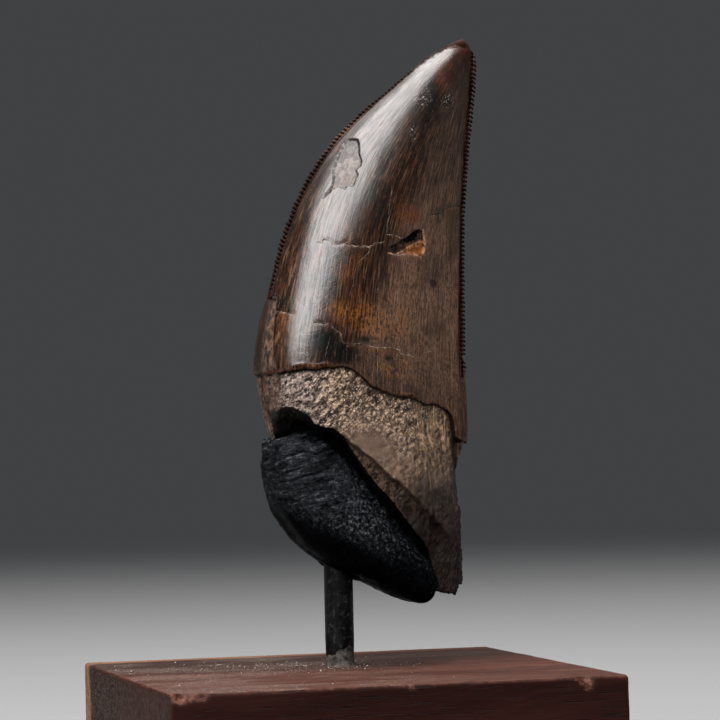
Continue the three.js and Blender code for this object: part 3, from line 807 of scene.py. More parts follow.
def build_root():
    angles = round_angles(ROOT_COLUMNS)
    edge = enamel_edge(angles)
    high = edge + ROOT_TUCK
    low = np.minimum(break_along(angles, ENAMEL_STEP), high - 0.02)
    along = low + (high - low) * np.linspace(0, 1, ROOT_ROWS)[:, None]
    base = tooth_point(along, angles, ENAMEL_STEP)
    flat = base.reshape(-1, 3)
    front = np.tile(np.sin(angles) > 0, ROOT_ROWS)
    relief, ledge, worn, fibres = root_relief(flat, front)
    buried = ((along - edge) * TOOTH_LENGTH).ravel()
    nose, spur = (gap.ravel() for gap in edge_gaps(base, along))
    relief += np.interp(flat[:, 2], *ROOT_SIDE.T) * smooth(4.0, 0.8, spur)
    relief = relief * smooth(0.6, -0.5, buried) - 0.35 * smooth(0.3, 1.2, buried)
    relief -= 0.12 * bell(buried, -0.2, 0.3) * (0.6 + rough(flat, 2.0, 2, 139))
    skin = base + outward(base) * relief.reshape(along.shape)[..., None]
    points, quads, triangles = capped(skin, ROOT_COLUMNS, BREAK_CELLS, torn)
    # What the mesh carries at each point, with the value that the break's face takes.
    carried = {
        # The strip along the distal side and the break's face get painted shade in the material.
        "shaded_side": (smooth(5.0, 1.0, spur), 0), "ledge": (ledge, 2), "worn": (worn, 0), "fibres": (fibres, 0),
        "below": (-buried, 20), "relief": (relief, -1), "nose": (nose, 5), "inside": (0 * nose, 1),
    }
    named = {
        name: np.append(values, np.full(len(points) - len(values), rest))
        for name, (values, rest) in carried.items()
    }
    return make_piece("tooth_root", points, quads, "tooth", triangles, named)


# ---- the putty cradle ----

# Stations along the pad from its blunt upper end to the toe: rim x and z, outer side x and z, depth.
PAD_STATIONS = np.array([
    [-8.4, 61.2, -9.7, 59.7, 9], [-6.6, 61.7, -10.1, 57, 14.2], [-4, 60.8, -9.6, 53.3, 16.2],
    [-1, 58.1, -7.9, 49.8, 16.7], [1.9, 54.5, -4.8, 46.4, 16.7], [4.8, 50.9, -0.2, 43.4, 16.4],
    [7.8, 47.7, 4.6, 41.1, 15.8], [10.6, 45, 8.1, 39.3, 14.6], [12.1, 42.2, 10.7, 38.5, 11.6],
    [12.3, 40.8, 11.9, 39.5, 7],
])
PAD_SQUARENESS = 2.9
PUTTY_SET_BACK = 3.3
PUTTY_VOXEL = 0.19
PAD_ROWS, PAD_COLUMNS = 90, 110
PLUG_ROWS, PLUG_COLUMNS, PLUG_CELLS = 30, 60, 20
STROKE_SLOPE = math.radians(12)  # the brush strokes climb to the right
DIMPLE = [[-2.6, 57.9, 1.7, 1.1, 0.55]]
HORN = [[-8.9, 60.6, 0.9, 0.9, 0.7]]


def remeshed(bodies, voxel):
    """Joins closed bodies into one even mesh and returns its vertices, normals and quads."""
    points, faces, start = [], [], 0
    for flat, quads, triangles in bodies:
        points += (flat * MM).tolist()
        faces += (quads + start).tolist() + (triangles + start).tolist()
        start += len(flat)
    mesh = bpy.data.meshes.new("joined")
    mesh.from_pydata(points, [], faces)
    obj = linked("joined", mesh)
    join = obj.modifiers.new("join", "REMESH")
    join.mode, join.voxel_size, join.adaptivity = "VOXEL", voxel * MM, 0
    ease = obj.modifiers.new("ease", "SMOOTH")
    ease.factor, ease.iterations = 0.5, 6
    done = obj.evaluated_get(bpy.context.evaluated_depsgraph_get()).to_mesh()
    place, normal = np.zeros((2, len(done.vertices) * 3))
    done.vertices.foreach_get("co", place)
    done.vertices.foreach_get("normal", normal)
    quads = np.array([list(p.vertices) for p in done.polygons])
    bpy.data.objects.remove(obj)
    return place.reshape(-1, 3) / MM, normal.reshape(-1, 3), quads


def squared(v):
    """A sine or cosine that runs round a rounded square."""
    return np.sign(v) * np.abs(v) ** (2 / PAD_SQUARENESS)


def build_cradle():
    angles = np.linspace(0, 2 * math.pi, PAD_COLUMNS, endpoint=False)
    s = catmull(PAD_STATIONS, np.linspace(0, 1, PAD_ROWS))[:, None]
    to_rim = ((1 + squared(np.cos(angles))) / 2)[:, None]
    flat = s[..., 2:4] * (1 - to_rim) + s[..., 0:2] * to_rim
    pad = np.insert(flat, 1, -squared(np.sin(angles)) * s[..., 4] / 2, axis=-1)
    turn = round_angles(PLUG_COLUMNS)
    top = break_along(turn, PUTTY_SET_BACK, 0.3).clip(0.008)
    up = np.linspace(0, 1, PLUG_ROWS)[:, None]
    filling = tooth_point(0.004 + (top - 0.004) * up, turn, PUTTY_SET_BACK)
    plug = capped(filling, PLUG_COLUMNS, PLUG_CELLS)
    points, normal, quads = remeshed([closed_stack(pad), plug], PUTTY_VOXEL)
    (x, y, z), plane = points.T, points[:, [0, 2]]
    rim = line_offset(plane, PAD_STATIONS[:, 0:2])
    tilted = points @ tilt(STROKE_SLOPE) + 0.5 * noise(points, 2.6, 149)[:, None]
    high = smooth(49.0, 56.0, z) * smooth(1.0, -3.0, x)
    relief = 0.3 * rough(points, 5.0, 2, 157) * (1 - 0.5 * smooth(58.0, 62.0, z))
    relief += 0.15 * high * rough(tilted, (3.4, 3.4, 0.5), 3, 151, 0.6)
    relief += 0.1 * (1 - high) * rough(points, (3.0, 3.0, 1.4), 3, 163)
    relief += 0.09 * pits(points, 0.9, 167, 0.5) * (1 - 0.7 * high)
    ragged = 0.3 + 0.45 * rough(points, 1.5, 4, 173, 0.7)
    relief += bell(rim, 0, 1.1) * smooth(0.0, 4.0, np.abs(y)) * ragged
    relief += patches(plane, HORN) * (y < 4) - patches(plane, DIMPLE) * (y < 0)
    tear = np.clip(pits(points, (0.9, 1.2, 2.2), 179, 0.5) * 1.6 - 0.3, 0, 1)
    relief -= 0.4 * tear * bell(rim, 0, 1.0) * smooth(-1.0, -4.0, x)
    relief += 0.25 * bell(np.hypot(x - POST_X, y), 2.4, 0.5) * smooth(50.0, 44.0, z)
    points = points + normal * relief[:, None]
    named = {"rim": rim.clip(-4, 4), "strokes": high}
    return make_piece("cradle_putty", points, quads, "cradle", [], named)


# ---- the post ----

POST_X, POST_RADIUS = -0.4, 2.0
POST_FOOT, POST_TOP = 18.0, 54.0
POST_ROWS, POST_COLUMNS = 150, 96


def build_post():
    z = np.concatenate([[POST_FOOT], np.linspace(28.5, 46.0, POST_ROWS), [POST_TOP]])
    angles = np.linspace(0, 2 * math.pi, POST_COLUMNS, endpoint=False)
    height, angle = np.meshgrid(z, angles, indexing="ij")
    line = np.stack([np.cos(angle) * POST_RADIUS, np.sin(angle) * POST_RADIUS, height], -1)
    bare = smooth(33.6, 31.6, height + 1.3 * rough(line, (1.6, 1.6, 1.2), 3, 193))
    radius = POST_RADIUS - 0.03 + 0.03 * rough(line, (1.2, 1.2, 3.0), 3, 191) - 0.05 * bare
    glue = np.exp(-((height - BLOCK_TOP) / (0.2 + 0.12 * (noise(line, 1.5, 197) + 1)))).clip(0, 1.2)
    glue = glue * (0.1 + 0.3 * smooth(-0.6, 0.8, np.cos(angle - 5.6)))  # most of it on the right
    radius = radius + np.where(height > 29, glue, 0)
    ring = np.stack([np.cos(angle) * radius + POST_X, np.sin(angle) * radius, height], -1)
    flat, quads, caps = closed_stack(ring)
    named = {"bare": np.append(bare, [0, 0]), "height": np.append(height, [POST_FOOT, POST_TOP])}
    return make_piece("post_rod", flat, quads, "post", caps, named)


# ---- the block ----

# Knocks in the top edges: x, half-width, depth down and depth inwards.
KNOCKS = [
    [-28.6, 2.1, 1.5, 0.9], [-26.4, 1.2, 1.1, 0.7], [0.8, 0.7, 0.8, 0.4], [-9.5, 0.4, 0.3, 0.3],
    [24.2, 1.1, 1.7, 0.8], [23, 0.6, 0.6, 0.5],
]
BACK_KNOCKS = [[-18, 1, 0.7, 0.5], [12.5, 1.4, 1, 0.6]]
SAPWOOD = 24.5  # the paler wood begins this far towards the back
CRUMBS = 1500
CRUMB_REACH = 28.8  # crumbs lie no further from the block's middle
BAND, BAND_STEPS = 2.4, 10  # the mesh is finer in this band along the block's edges
BLOCK_EASE = 0.55


def spaced(half, coarse):
    """Places from -half to half, closer together at the ends."""
    ends = np.linspace(0, BAND, BAND_STEPS, endpoint=False)
    middle = np.linspace(-half + BAND, half - BAND, coarse)
    return np.concatenate([-half + ends, middle, half - ends[::-1]])


def crumbs(start):
    """Small grains of dust and putty that lie on the block, thickest round the post and left of it."""
    n = np.arange(CRUMBS * 4)
    x, y, size, keep = (lattice(n, k, 0, 233) for k in range(4))
    x, y = (x * 2 - 1) * CRUMB_REACH, (y * 2 - 1) * CRUMB_REACH
    band = (np.exp(-(((y - 5 + 0.1 * x) / 9) ** 2)) + 0.12) * smooth(20, -2, x)
    foot = 2.2 * bell(x, -1.0, 6) * bell(y, 2.0, 5)
    spread = 0.75 + 0.5 * rough(np.stack([x, y, 0 * x], -1), (9.0, 6.0, 9.0), 2, 239)
    chosen = np.where(keep < (band + foot) * spread * 0.62)[0][:CRUMBS]
    x, y, size = x[chosen], y[chosen], 0.05 + 0.11 * size[chosen] ** 5
    shape = np.array([[1, 0, 0], [0, 1, 0], [-1, 0, 0], [0, -1, 0], [0, 0, 1], [0, 0, -1]], float)
    bend = np.stack([lattice(chosen[:, None], np.arange(6), k, 241) for k in range(3)], -1)
    grains = shape * size[:, None, None] * (0.6 + 0.8 * bend)
    grains += np.stack([x, y, BLOCK_TOP + 0.6 * size], -1)[:, None, :]
    ring = [(n, (n + 1) % 4) for n in range(4)]
    faces = np.array([[a, b, 4] for a, b in ring] + [[b, a, 5] for a, b in ring])
    triangles = faces + 6 * np.arange(len(chosen))[:, None, None] + start
    return grains.reshape(-1, 3), triangles.reshape(-1, 3)


def build_base():
    half = np.array([BLOCK_SIDE / 2, BLOCK_SIDE / 2, BLOCK_TOP / 2])
    points, quads, total = [], [], 0
    for axis in (0, 1, 2):
        others = [a for a in (0, 1, 2) if a != axis]
        places = [spaced(half[a], 96 if half[a] > 20 else 48) for a in others]
        grid = np.meshgrid(*places, indexing="ij")
        for sign in (-1, 1):
            face = np.zeros(grid[0].shape + (3,))
            face[..., axis], face[..., others[0]], face[..., others[1]] = sign * half[axis], *grid
            points.append(face.reshape(-1, 3))
            quads.append(grid_faces(*grid[0].shape, False, total, flip=(sign > 0) != (axis == 1)))
            total += grid[0].size
    flat = np.vstack(points)
    key = np.round(flat * 1e4).astype(np.int64)
    _, keep, back = np.unique(key, axis=0, return_index=True, return_inverse=True)
    flat, quads = flat[keep], back.ravel()[np.vstack(quads)]
    lift = np.array([0, 0, half[2]])
    ease = (BLOCK_EASE * (1 + 0.35 * rough(flat + lift, (6.0, 5.0, 5.0), 3, 211)))[:, None]
    core = np.clip(flat, -(half - ease), half - ease)
    away = flat - core
    long = np.linalg.norm(away, axis=1, keepdims=True)
    normal = away / np.maximum(long, 1e-9)
    flat = np.where(long > 1e-9, core + normal * ease, flat)
    edge = np.sort(np.abs(np.abs(flat) - half), axis=1)[:, 1]
    pores = np.clip(rough(flat + lift, (7.0, 0.32, 0.32), 2, 223) * 2.2 - 1.1, 0, 1)
    relief = 0.012 * rough(flat + lift, (30.0, 2.6, 2.6), 2, 227) - 0.05 * pores
    flat = flat + normal * relief[:, None]
    bites = np.zeros(len(flat))
    for row, y in ((KNOCKS, -half[1]), (BACK_KNOCKS, half[1])):
        for x, wide, down, inward in row:
            ragged = 1 + 0.35 * rough(flat, 0.9, 3, 229)
            near = np.linalg.norm((flat - [x, y, half[2]]) / np.array([wide, inward * 1.2, down]), axis=1)
            depth = np.clip(ragged - near, 0, 1)
            flat = flat + np.array([0, -np.sign(y), -0.35]) * (inward * depth)[:, None]
            bites = np.maximum(bites, smooth(0, 0.25, depth))
    flat = flat + lift
    flat[:, 2] = np.maximum(flat[:, 2], 0)
    grains, triangles = crumbs(len(flat))
    rest = np.zeros(len(grains))
    named = {
        "bites": np.append(bites, rest), "edge": np.append(edge.clip(0, 5), rest + 5),
        "crumb": np.append(np.zeros(len(flat)), rest + 1),
    }
    return make_piece("base_block", np.vstack([flat, grains]), quads, "base", triangles, named, 0)


# ---- materials ----

BLACKEST = (0.0016, 0.0009, 0.0007)


def enamel_base(m, grain):
    """The enamel's own colour: dark chocolate with a fine lengthwise grain."""
    fine = m.noise((3.2, 0.26, 1), 4, 0.68, at=grain)
    hair = m.noise((5.2, 0.32, 1), 3, 0.6, at=grain)
    broad = m.noise((0.5, 0.16, 0.3), 5, 0.65, 0.5, at=grain)
    m.colour = broad.shade(0.36, 0.64, (0.0055, 0.0022, 0.0013), (0.017, 0.0062, 0.0028))
    m.paint(fine.ramp(0.51, 0.61, 0, 0.85), (0.032, 0.0125, 0.0055))
    m.paint(fine.ramp(0.49, 0.41, 0, 0.9), BLACKEST)
    m.paint(hair.ramp(0.48, 0.41, 0, 0.8), BLACKEST)
    m.paint(hair.ramp(0.57, 0.65, 0, 0.7), (0.085, 0.044, 0.025))
    return fine, hair


def enamel_finish(m, fine, hair, matte, normal=None, lumps=0.4, **settings):
    """Gloss and fine relief that the crown and its serrated edges share."""
    soft = m.z.ramp(68, 108, 0.28, 0.35) + (m.noise(0.6, 5, 0.7) - 0.5) * 0.22
    normal = m.bump(fine * 0.4 + hair * 0.6, 0.04, 0.7, normal)
    normal = m.bump(m.noise(1.3, 4, 0.75), 0.05, lumps, normal)
    return m.finish((soft + matte * 0.6).clamped(), normal, **settings)


def crack_lines(m, wobble):
    """Masks for the pale filling of the cracks and for the painted shadow just below (or left of) each of
    them.
    """
    pale = dark = 0
    strength = m.noise(0.9, 5, 0.85).ramp(0.43, 0.57, 0.06, 1)
    swell = m.noise(1.3, 4, 0.8).ramp(0.38, 0.64, 0.3, 1.5)
    right, left = m.x.ramp(-2.6, -0.8, 0.05, 1), m.x.ramp(11.6, 11)
    lower, upright = m.x.ramp(-2, 4.6, 0.25, 1.2), m.z.ramp(80, 74, 0.25, 0.75)
    lines = ((0.075, right), (0.085, lower), (0.05, upright), (0.08, 0.9), (0.04, 0.25), (0.08, left))
    offsets = m.marks("cracks_a") + m.marks("cracks_b")
    opens = m.marks("opens_a") + m.marks("opens_b")
    for offset, on, (width, share) in zip(offsets, opens, lines):
        at = offset + wobble
        line = (abs(at) - swell * (width * 0.6)).ramp(0.025, -0.025)
        # Painted shadow: a dark line just below (or left of) the crack.
        dark = most(abs(at + 0.06).ramp(0.13, 0.03) * on, dark)
        pale = most(line * on * share, pale)
    return pale * strength, (dark * swell).clamped()


def enamel_tones(m, grain, fine, hair, weave):
    """Amber, red and black patches, and the duller brown of the side behind the glare."""
    amber, black, red = m.marks("tones")
    cloud = m.noise(0.16, 5, 0.6)
    mottled = (hair * 0.4 + weave * 0.6).ramp(0.455, 0.56)
    m.paint(m.z.ramp(84, 96) * fine.ramp(0.62, 0.45) * 0.45, (0.005, 0.0022, 0.0015))
    m.paint((amber * (mottled + 0.06)).clamped() * 0.78, (0.125, 0.044, 0.0095))
    m.paint((red * (mottled + 0.3)).clamped() * 0.75, (0.07, 0.0165, 0.006))
    m.paint((black * (weave.ramp(0.6, 0.42) + 0.45)).clamped() * 0.95, (0.0012, 0.0013, 0.0011))

    duller = (m.x - (m.z * 0.402 - 27.7)).ramp(-1.5, 3.5)
    duller = duller * m.z.ramp(62, 80, 0.45, 1) * m.z.ramp(115.5, 110)
    dusty = fine.shade(0.38, 0.6, (0.015, 0.0086, 0.0062), (0.058, 0.0345, 0.0245))
    warm = weave.shade(0.42, 0.58, (0.052, 0.027, 0.0165), (0.145, 0.08, 0.05))
    for mask, tint in (
        (m.z.ramp(100, 82, 0, 0.9), warm),
        (m.z.ramp(102, 110, 0, 0.6), (0.012, 0.009, 0.0075)),
        (cloud.ramp(0.54, 0.4, 0, 0.55), (0.02, 0.0125, 0.0095)),
        (hair.ramp(0.57, 0.66, 0, 0.4), (0.15, 0.094, 0.066)),
        (hair.ramp(0.46, 0.38, 0, 0.6), (0.008, 0.0045, 0.0033)),
    ):
        dusty = mask.mix(dusty, tint)
    m.paint(duller * 0.88, dusty)
    m.paint(amber.ramp(0.3, 1.1) * weave.ramp(0.44, 0.56, 0, 0.75) * duller, (0.15, 0.067, 0.027))
    m.paint(red.ramp(0.3, 1.1) * weave.ramp(0.4, 0.56, 0.35, 0.8) * duller, (0.06, 0.0155, 0.0065))
    m.paint(black.ramp(0.45, 1.15, 0, 0.72), (0.0012, 0.0013, 0.0012))
    thread = abs(m.noise((1.9, 0.13, 1), 2, 0.5, at=grain) - 0.5).ramp(0.016, 0)
    m.paint(thread * m.noise(0.5, 3, 0.7).ramp(0.48, 0.62, 0.05, 0.55), (0.1, 0.058, 0.037))
    return mottled


def enamel_chip(m, chip, hole, fleck, wobble):
    """The chip, the hollow at its top, the ridge across it and its bright right rim."""
    line, on = m.marks("cracks_b")[0], m.marks("opens_b")[0]
    chip = chip + wobble * 0.8
    inchip = chip.ramp(-0.06, 0.12)
    flaked = fleck.shade(0.4, 0.64, (0.005, 0.003, 0.0024), (0.05, 0.024, 0.015))
    rust = fleck.shade(0.38, 0.6, (0.025, 0.008, 0.003), (0.17, 0.06, 0.018))
    flaked = (m.x.ramp(8.6, 9.8) * line.ramp(0.35, -0.1)).mix(flaked, rust)
    m.paint(inchip * m.x.ramp(5.6, 8, 0.3, 0.95), flaked)
    hollow = fleck.shade(0.52, 0.66, (0.0015, 0.0013, 0.0012), (0.05, 0.034, 0.026))
    m.paint((hole + wobble).ramp(-0.04, 0.14), hollow)
    ridge = abs(line + wobble * 0.5).ramp(0.13, 0.04) * on * fleck.ramp(0.4, 0.56, 0.25, 0.95)
    m.paint(ridge, (0.26, 0.15, 0.09))
    brink = abs(chip).ramp(0.17, 0.05) * m.x.ramp(10.2, 11.4) * fleck.ramp(0.42, 0.6, 0.1, 1)
    m.paint(brink * 0.9, (0.24, 0.12, 0.06))
    return inchip


def enamel_scar(m, scar, fleck, wobble):
    """The place where a scale of enamel has come off: greyer above, tan below, dark at its rim."""
    scar = scar + wobble * 0.7
    inscar = scar.ramp(0, 0.1)
    blotch = m.noise(1.1, 5, 0.75).ramp(0.43, 0.57)
    healed = blotch.mix((0.02, 0.0125, 0.0105), (0.075, 0.056, 0.05))
    grey = blotch.mix((0.005, 0.0042, 0.004), (0.026, 0.021, 0.0195))
    tan = blotch.mix((0.022, 0.0105, 0.0072), (0.07, 0.04, 0.03))
    healed = m.z.ramp(99.2, 101.4, 0, 0.9).mix(healed, grey)
    m.paint(inscar, m.z.ramp(97.8, 95.8, 0, 0.85).mix(healed, tan))
    brim = abs(scar + 0.05).ramp(0.2, 0.08, 0, 0.95) * fleck.ramp(0.38, 0.52, 0.5, 1)
    m.paint(brim, (0.006, 0.0035, 0.0026))
    return inscar, brim


def enamel_material():
    """Enamel with amber, red and black patches, cracks, a scar, a chip and a flaked strip."""
    m = Shader("enamel")
    grain = m.mark("grain", "Vector")
    fine, hair = enamel_base(m, grain)
    fleck = m.noise(1.6, 4, 0.65)
    weave = m.noise((4.4, 1.9, 1), 5, 0.75, at=grain)
    mottled = enamel_tones(m, grain, fine, hair, weave)

    wobble = (m.noise(2.2, 4, 0.7) - 0.5) * 0.5
    pale, dark = crack_lines(m, wobble)
    # Painted shadow just below the cracks.
    m.paint(dark * 0.8, (0.004, 0.0025, 0.002))
    m.paint(pale * 0.9, fleck.mix((0.2, 0.11, 0.065), (0.46, 0.33, 0.24)))
    chip, hole, scar = m.marks("outlines")
    inchip = enamel_chip(m, chip, hole, fleck, wobble)
    inscar, brim = enamel_scar(m, scar, fleck, wobble)

    instrip = (m.mark("strip") + wobble).ramp(-0.05, 0.15)
    bark = m.noise((2.6, 0.8, 1), 5, 0.75, at=grain).ramp(0.42, 0.62)
    m.paint(instrip, bark.mix((0.007, 0.003, 0.0016), (0.085, 0.045, 0.029)))
    rise, curled = m.mark("rise"), m.mark("curl")
    curl = (curled * fleck.ramp(0.36, 0.6, 0.1, 1)).clamped()
    edge = (rise + wobble * 2.6).ramp(0.6, 0.1)
    m.paint(edge * 0.85, fleck.shade(0.42, 0.62, (0.004, 0.002, 0.0013), (0.06, 0.021, 0.008)))
    m.paint(curl * 0.9, mottled.mix((0.022, 0.009, 0.005), (0.14, 0.062, 0.03)))
    # Painted shade along the enamel's lowest edge and its underside.
    m.paint(rise.ramp(0.16, 0, 0, 0.95), (0.0025, 0.0014, 0.001))

    pecked = m.mark("pecked")
    pecks = pecked * m.noise(3.4, 3, 0.7).ramp(0.56, 0.64)
    m.paint(pecked * 0.6, (0.006, 0.005, 0.0045))
    m.paint(pecks * 0.8, (0.2, 0.17, 0.155))
    mesial, distal, _ = m.marks("edges")
    m.paint(mesial.smaller(distal).ramp(2, 0.9) * 0.6, (0.012, 0.0065, 0.0045))
    fray = (fleck - 0.5) * 1.2
    worn = (mesial + fray).ramp(1.65, 1.1) * m.z.ramp(102, 107)
    apex = (m.z + fray).ramp(114.6, 115.3)
    m.paint(worn * 0.92, fleck.shade(0.4, 0.6, (0.0035, 0.0017, 0.0012), (0.016, 0.0065, 0.0042)))
    m.paint(apex, fleck.mix((0.006, 0.0018, 0.0011), (0.018, 0.0055, 0.0032)))

    # Worn, broken and edge parts have no gloss, and the glare is broken up along its two sides.
    matte = most(inchip, inscar * 0.6, instrip, curl, edge, pecks * 0.6, worn, rise.ramp(0.16, 0), apex)
    lined = most(hair.ramp(0.47, 0.4, 0, 0.32), fine.ramp(0.46, 0.39, 0, 0.2))
    beside = (m.x - most(m.z * 0.694 - 61.5, m.z * 0.367 - 32)).ramp(0.6, 2.6, 0, 0.62)
    before = (m.x - most(m.z * 0.17 - 18.7, m.z * 0.72 - 70.1)).ramp(0, -1.6, 0, 0.6)
    dull = most(worn, apex, inchip, dark, curled.ramp(0.12, 0.45), edge, rise.ramp(0.2, 0), lined,
                beside, before * m.z.ramp(101, 93), most(instrip, brim) * 0.85).clamped()
    normal = m.bump(1 - dark, 0.05, 0.6)
    lumps = m.z.ramp(96, 84, 0.3, 0.75)
    return enamel_finish(
        m, fine, hair, matte, normal, lumps, IOR=1.56, Coat_Roughness=0.25, Coat_IOR=1.5,
        Specular_Tint=dull.mix((1, 1, 1), (0.06, 0.05, 0.045)),
        Coat_Weight=(1 - dull) * m.z.ramp(100, 111, 0.25, 0.12),
    )


def serration_material():
    """The denticles: the same enamel, with painted shade in the cuts and painted highlights on the upper
    mesial ones.
    """
    m = Shader("enamel_edge")
    fine, hair = enamel_base(m, m.mark("grain", "Vector"))
    m.paint(0.6, fine.shade(0.42, 0.62, (0.004, 0.0022, 0.0016), (0.02, 0.009, 0.006)))
    # Painted highlights on the mesial denticles between z 98 and 108.
    pale = m.z.ramp(98, 102) * m.z.ramp(108, 104) * m.x.ramp(16, 12)
    m.paint(pale * fine.ramp(0.45, 0.6, 0.1, 0.6), (0.1, 0.06, 0.045))
    # Painted shade in the cuts between the denticles.
    m.paint(m.mark("crest").ramp(0.75, 0.25, 0, 0.92), (0.002, 0.0015, 0.0012))
    return enamel_finish(m, fine, hair, 0.7, IOR=1.07, Specular_Tint=(0.4, 0.36, 0.33))


def root_material():
    """Bare dentine and cementum: beige and grey-brown, specked, darker in its pits, with painted shade on
    the break, along the distal side and just under the enamel's edge, and painted glints on the grit.
    """
    m = Shader("fossil_root")
    worn, fibres, nose, below = (m.mark(name) for name in ("worn", "fibres", "nose", "below"))
    cloud = m.noise(0.2, 5, 0.6)
    speck = m.noise((1.3, 1.6, 2.6), 5, 0.75, at=m.turned(ROOT_SLANT))
    grit = m.noise(3.4, 4, 0.75)
    streak = m.noise((2.2, 1.4, 0.24), 6, 0.72)
    m.colour = cloud.shade(0.35, 0.65, (0.05, 0.032, 0.022), (0.11, 0.07, 0.047))
    keen = 1 - worn * 0.8
    m.paint(speck.ramp(0.52, 0.6, 0, 0.9) * keen, (0.4, 0.28, 0.195))
    m.paint(speck.ramp(0.485, 0.42) * keen, (0.006, 0.0036, 0.0027))
    # Pale grit; its brightest flecks are painted glints.
    m.paint(grit.ramp(0.56, 0.66, 0, 0.9) * keen, (0.6, 0.46, 0.34))
    m.paint(grit.ramp(0.44, 0.36, 0, 0.85) * keen, (0.006, 0.004, 0.003))
    m.paint(m.mark("relief").ramp(-0.05, -0.35, 0, 0.7), (0.01, 0.0065, 0.005))
    mauve = speck.shade(0.42, 0.58, (0.012, 0.0085, 0.0078), (0.27, 0.215, 0.2))
    m.paint(m.x.ramp(-1, -6) * m.z.ramp(61, 64) * 0.6, mauve)
    m.paint(worn * 0.75, cloud.mix((0.04, 0.024, 0.017), (0.1, 0.066, 0.049)))
    fibrous = streak.shade(0.43, 0.57, (0.008, 0.0045, 0.003), (0.14, 0.083, 0.046))
    m.paint(fibres * 0.75, streak.ramp(0.56, 0.64, 0, 0.7).mix(fibrous, (0.42, 0.28, 0.17)))
    m.paint(m.z.ramp(62, 53, 0, 0.95) * fibres, streak.mix((0.006, 0.004, 0.003), (0.03, 0.02, 0.015)))
    # Painted shade along the root's distal side.
    m.paint(m.mark("shaded_side") * 0.88, (0.006, 0.0038, 0.003))
    bark = streak.shade(0.4, 0.6, (0.02, 0.011, 0.008), (0.11, 0.07, 0.054))
    m.paint(nose.ramp(2.2, 1) * below.ramp(5.5, 3.5), bark)
    seam = abs(nose - 1.9).ramp(0.5, 0.1) * below.ramp(6.5, 4.5)
    m.paint(seam * 0.85, (0.022, 0.008, 0.005))

    # Below the ledge lies the broken dentine, with painted shade that darkens it towards the root's end.
    dentine = speck.shade(0.45, 0.58, (0.0018, 0.0012, 0.0009), (0.075, 0.043, 0.028))
    painted_end_shade = streak.shade(0.42, 0.62, (0.0006, 0.0004, 0.0003), (0.0075, 0.003, 0.0018))
    dentine = m.z.ramp(57, 49, 0, 0.92).mix(dentine, painted_end_shade)
    dentine = (grit.ramp(0.58, 0.68, 0, 0.7) * m.z.ramp(46, 52)).mix(dentine, (0.13, 0.083, 0.055))
    m.paint((m.mark("ledge") + (speck - 0.5) * 1.6).ramp(-0.1, 0.35), dentine)
    # Painted shade over the lower right of the root.
    far = streak.mix((0.001, 0.0004, 0.0003), (0.016, 0.0065, 0.0038))
    m.paint(m.z.ramp(56, 47) * m.x.ramp(7, 11) * 0.7, far)
    scratched = streak.ramp(0.56, 0.63) * m.z.ramp(49, 54, 0, 0.6) * m.z.ramp(62, 58)
    m.paint(scratched, (0.12, 0.072, 0.042))
    flake = streak.shade(0.42, 0.58, (0.007, 0.003, 0.0018), (0.075, 0.038, 0.023))
    m.paint(m.x.ramp(-7.9, -8.6, 0, 0.8), flake)
    sliver = m.z.ramp(64, 61.5) * m.x.ramp(-6, -7.6) * streak.ramp(0.6, 0.46, 0.35, 0.9)
    m.paint(sliver, (0.008, 0.005, 0.0038))
    # Painted shade on the break's face.
    m.paint(m.mark("inside") * 0.92, (0.0015, 0.001, 0.0008))
    # Painted shadow just under the enamel's edge.
    m.paint(below.ramp(0.4, 0, 0, 0.85), (0.006, 0.0035, 0.0025))
    normal = m.bump(speck * 0.6 + grit * 0.4, 0.4, keen)
    normal = m.bump(streak, 0.18, fibres * 0.8, normal)
    return m.finish(speck.ramp(0.35, 0.65, 0.62, 0.32), normal, IOR=1.5, Specular_IOR_Level=0.12)


def putty_material():
    """Satin black modelling putty with brush strokes, a painted cool sheen and painted shade in its hollows
    and its trench.
    """
    m = Shader("black_putty")
    strokes, rim = m.mark("strokes"), m.mark("rim")
    brush = m.noise((0.3, 0.3, 1.7), 5, 0.72, 0.7, at=m.turned(STROKE_SLOPE))
    pebble = m.noise(1.9, 5, 0.75)
    cloud = m.noise(0.16, 4, 0.6)
    m.colour = cloud.shade(0.35, 0.7, (0.0008, 0.0009, 0.0012), (0.0022, 0.0025, 0.0031))
    drawn = strokes * 1.6
    ridge = (brush * drawn + pebble) / (drawn + 1)
    # Painted sheen: the upper left is painted lighter and bluer, brightest on the ridges of the strokes.
    lit = (m.z + m.x * 0.5).ramp(46.6, 50.6) * m.x.ramp(9.5, 1, 0.12, 1) * m.x.ramp(-9.6, -7.8, 0.3, 1)
    m.paint(lit * 0.9, (0.0095, 0.0103, 0.0119))
    m.paint(ridge.ramp(0.5, 0.58) * lit, (0.027, 0.0292, 0.0335))
    m.paint(ridge.ramp(0.56, 0.64) * lit, (0.085, 0.09, 0.099))
    # Painted shade in the hollows between the strokes.
    m.paint(ridge.ramp(0.48, 0.41) * 0.9, (0.0006, 0.0007, 0.0009))
    # Painted glints: small bright specks along a line just below the rim.
    near = abs(rim + 0.9).ramp(0.9, 0.3, 0.08, 1) * m.noise(0.7, 3, 0.7).ramp(0.38, 0.55)
    m.paint(m.cells(1.7).ramp(0.3, 0.12) * (near * 0.8), (0.055, 0.057, 0.062))
    shaded = rim.ramp(0.25, 0.9)
    m.paint(shaded * 0.95, (0.0004, 0.0004, 0.0005))
    patch = (cloud * 0.5 + pebble * 0.5).ramp(0.38, 0.62)
    normal = m.bump(brush, 0.9, strokes.ramp(0, 1, 0.2, 1))
    normal = m.bump(pebble, 0.7, strokes.ramp(0, 1, 0.9, 0.5), normal)
    roughness = (patch * 0.2 + 0.26 + shaded * 0.6).clamped()
    return m.finish(roughness, normal, IOR=1.02, Specular_IOR_Level=0.5)


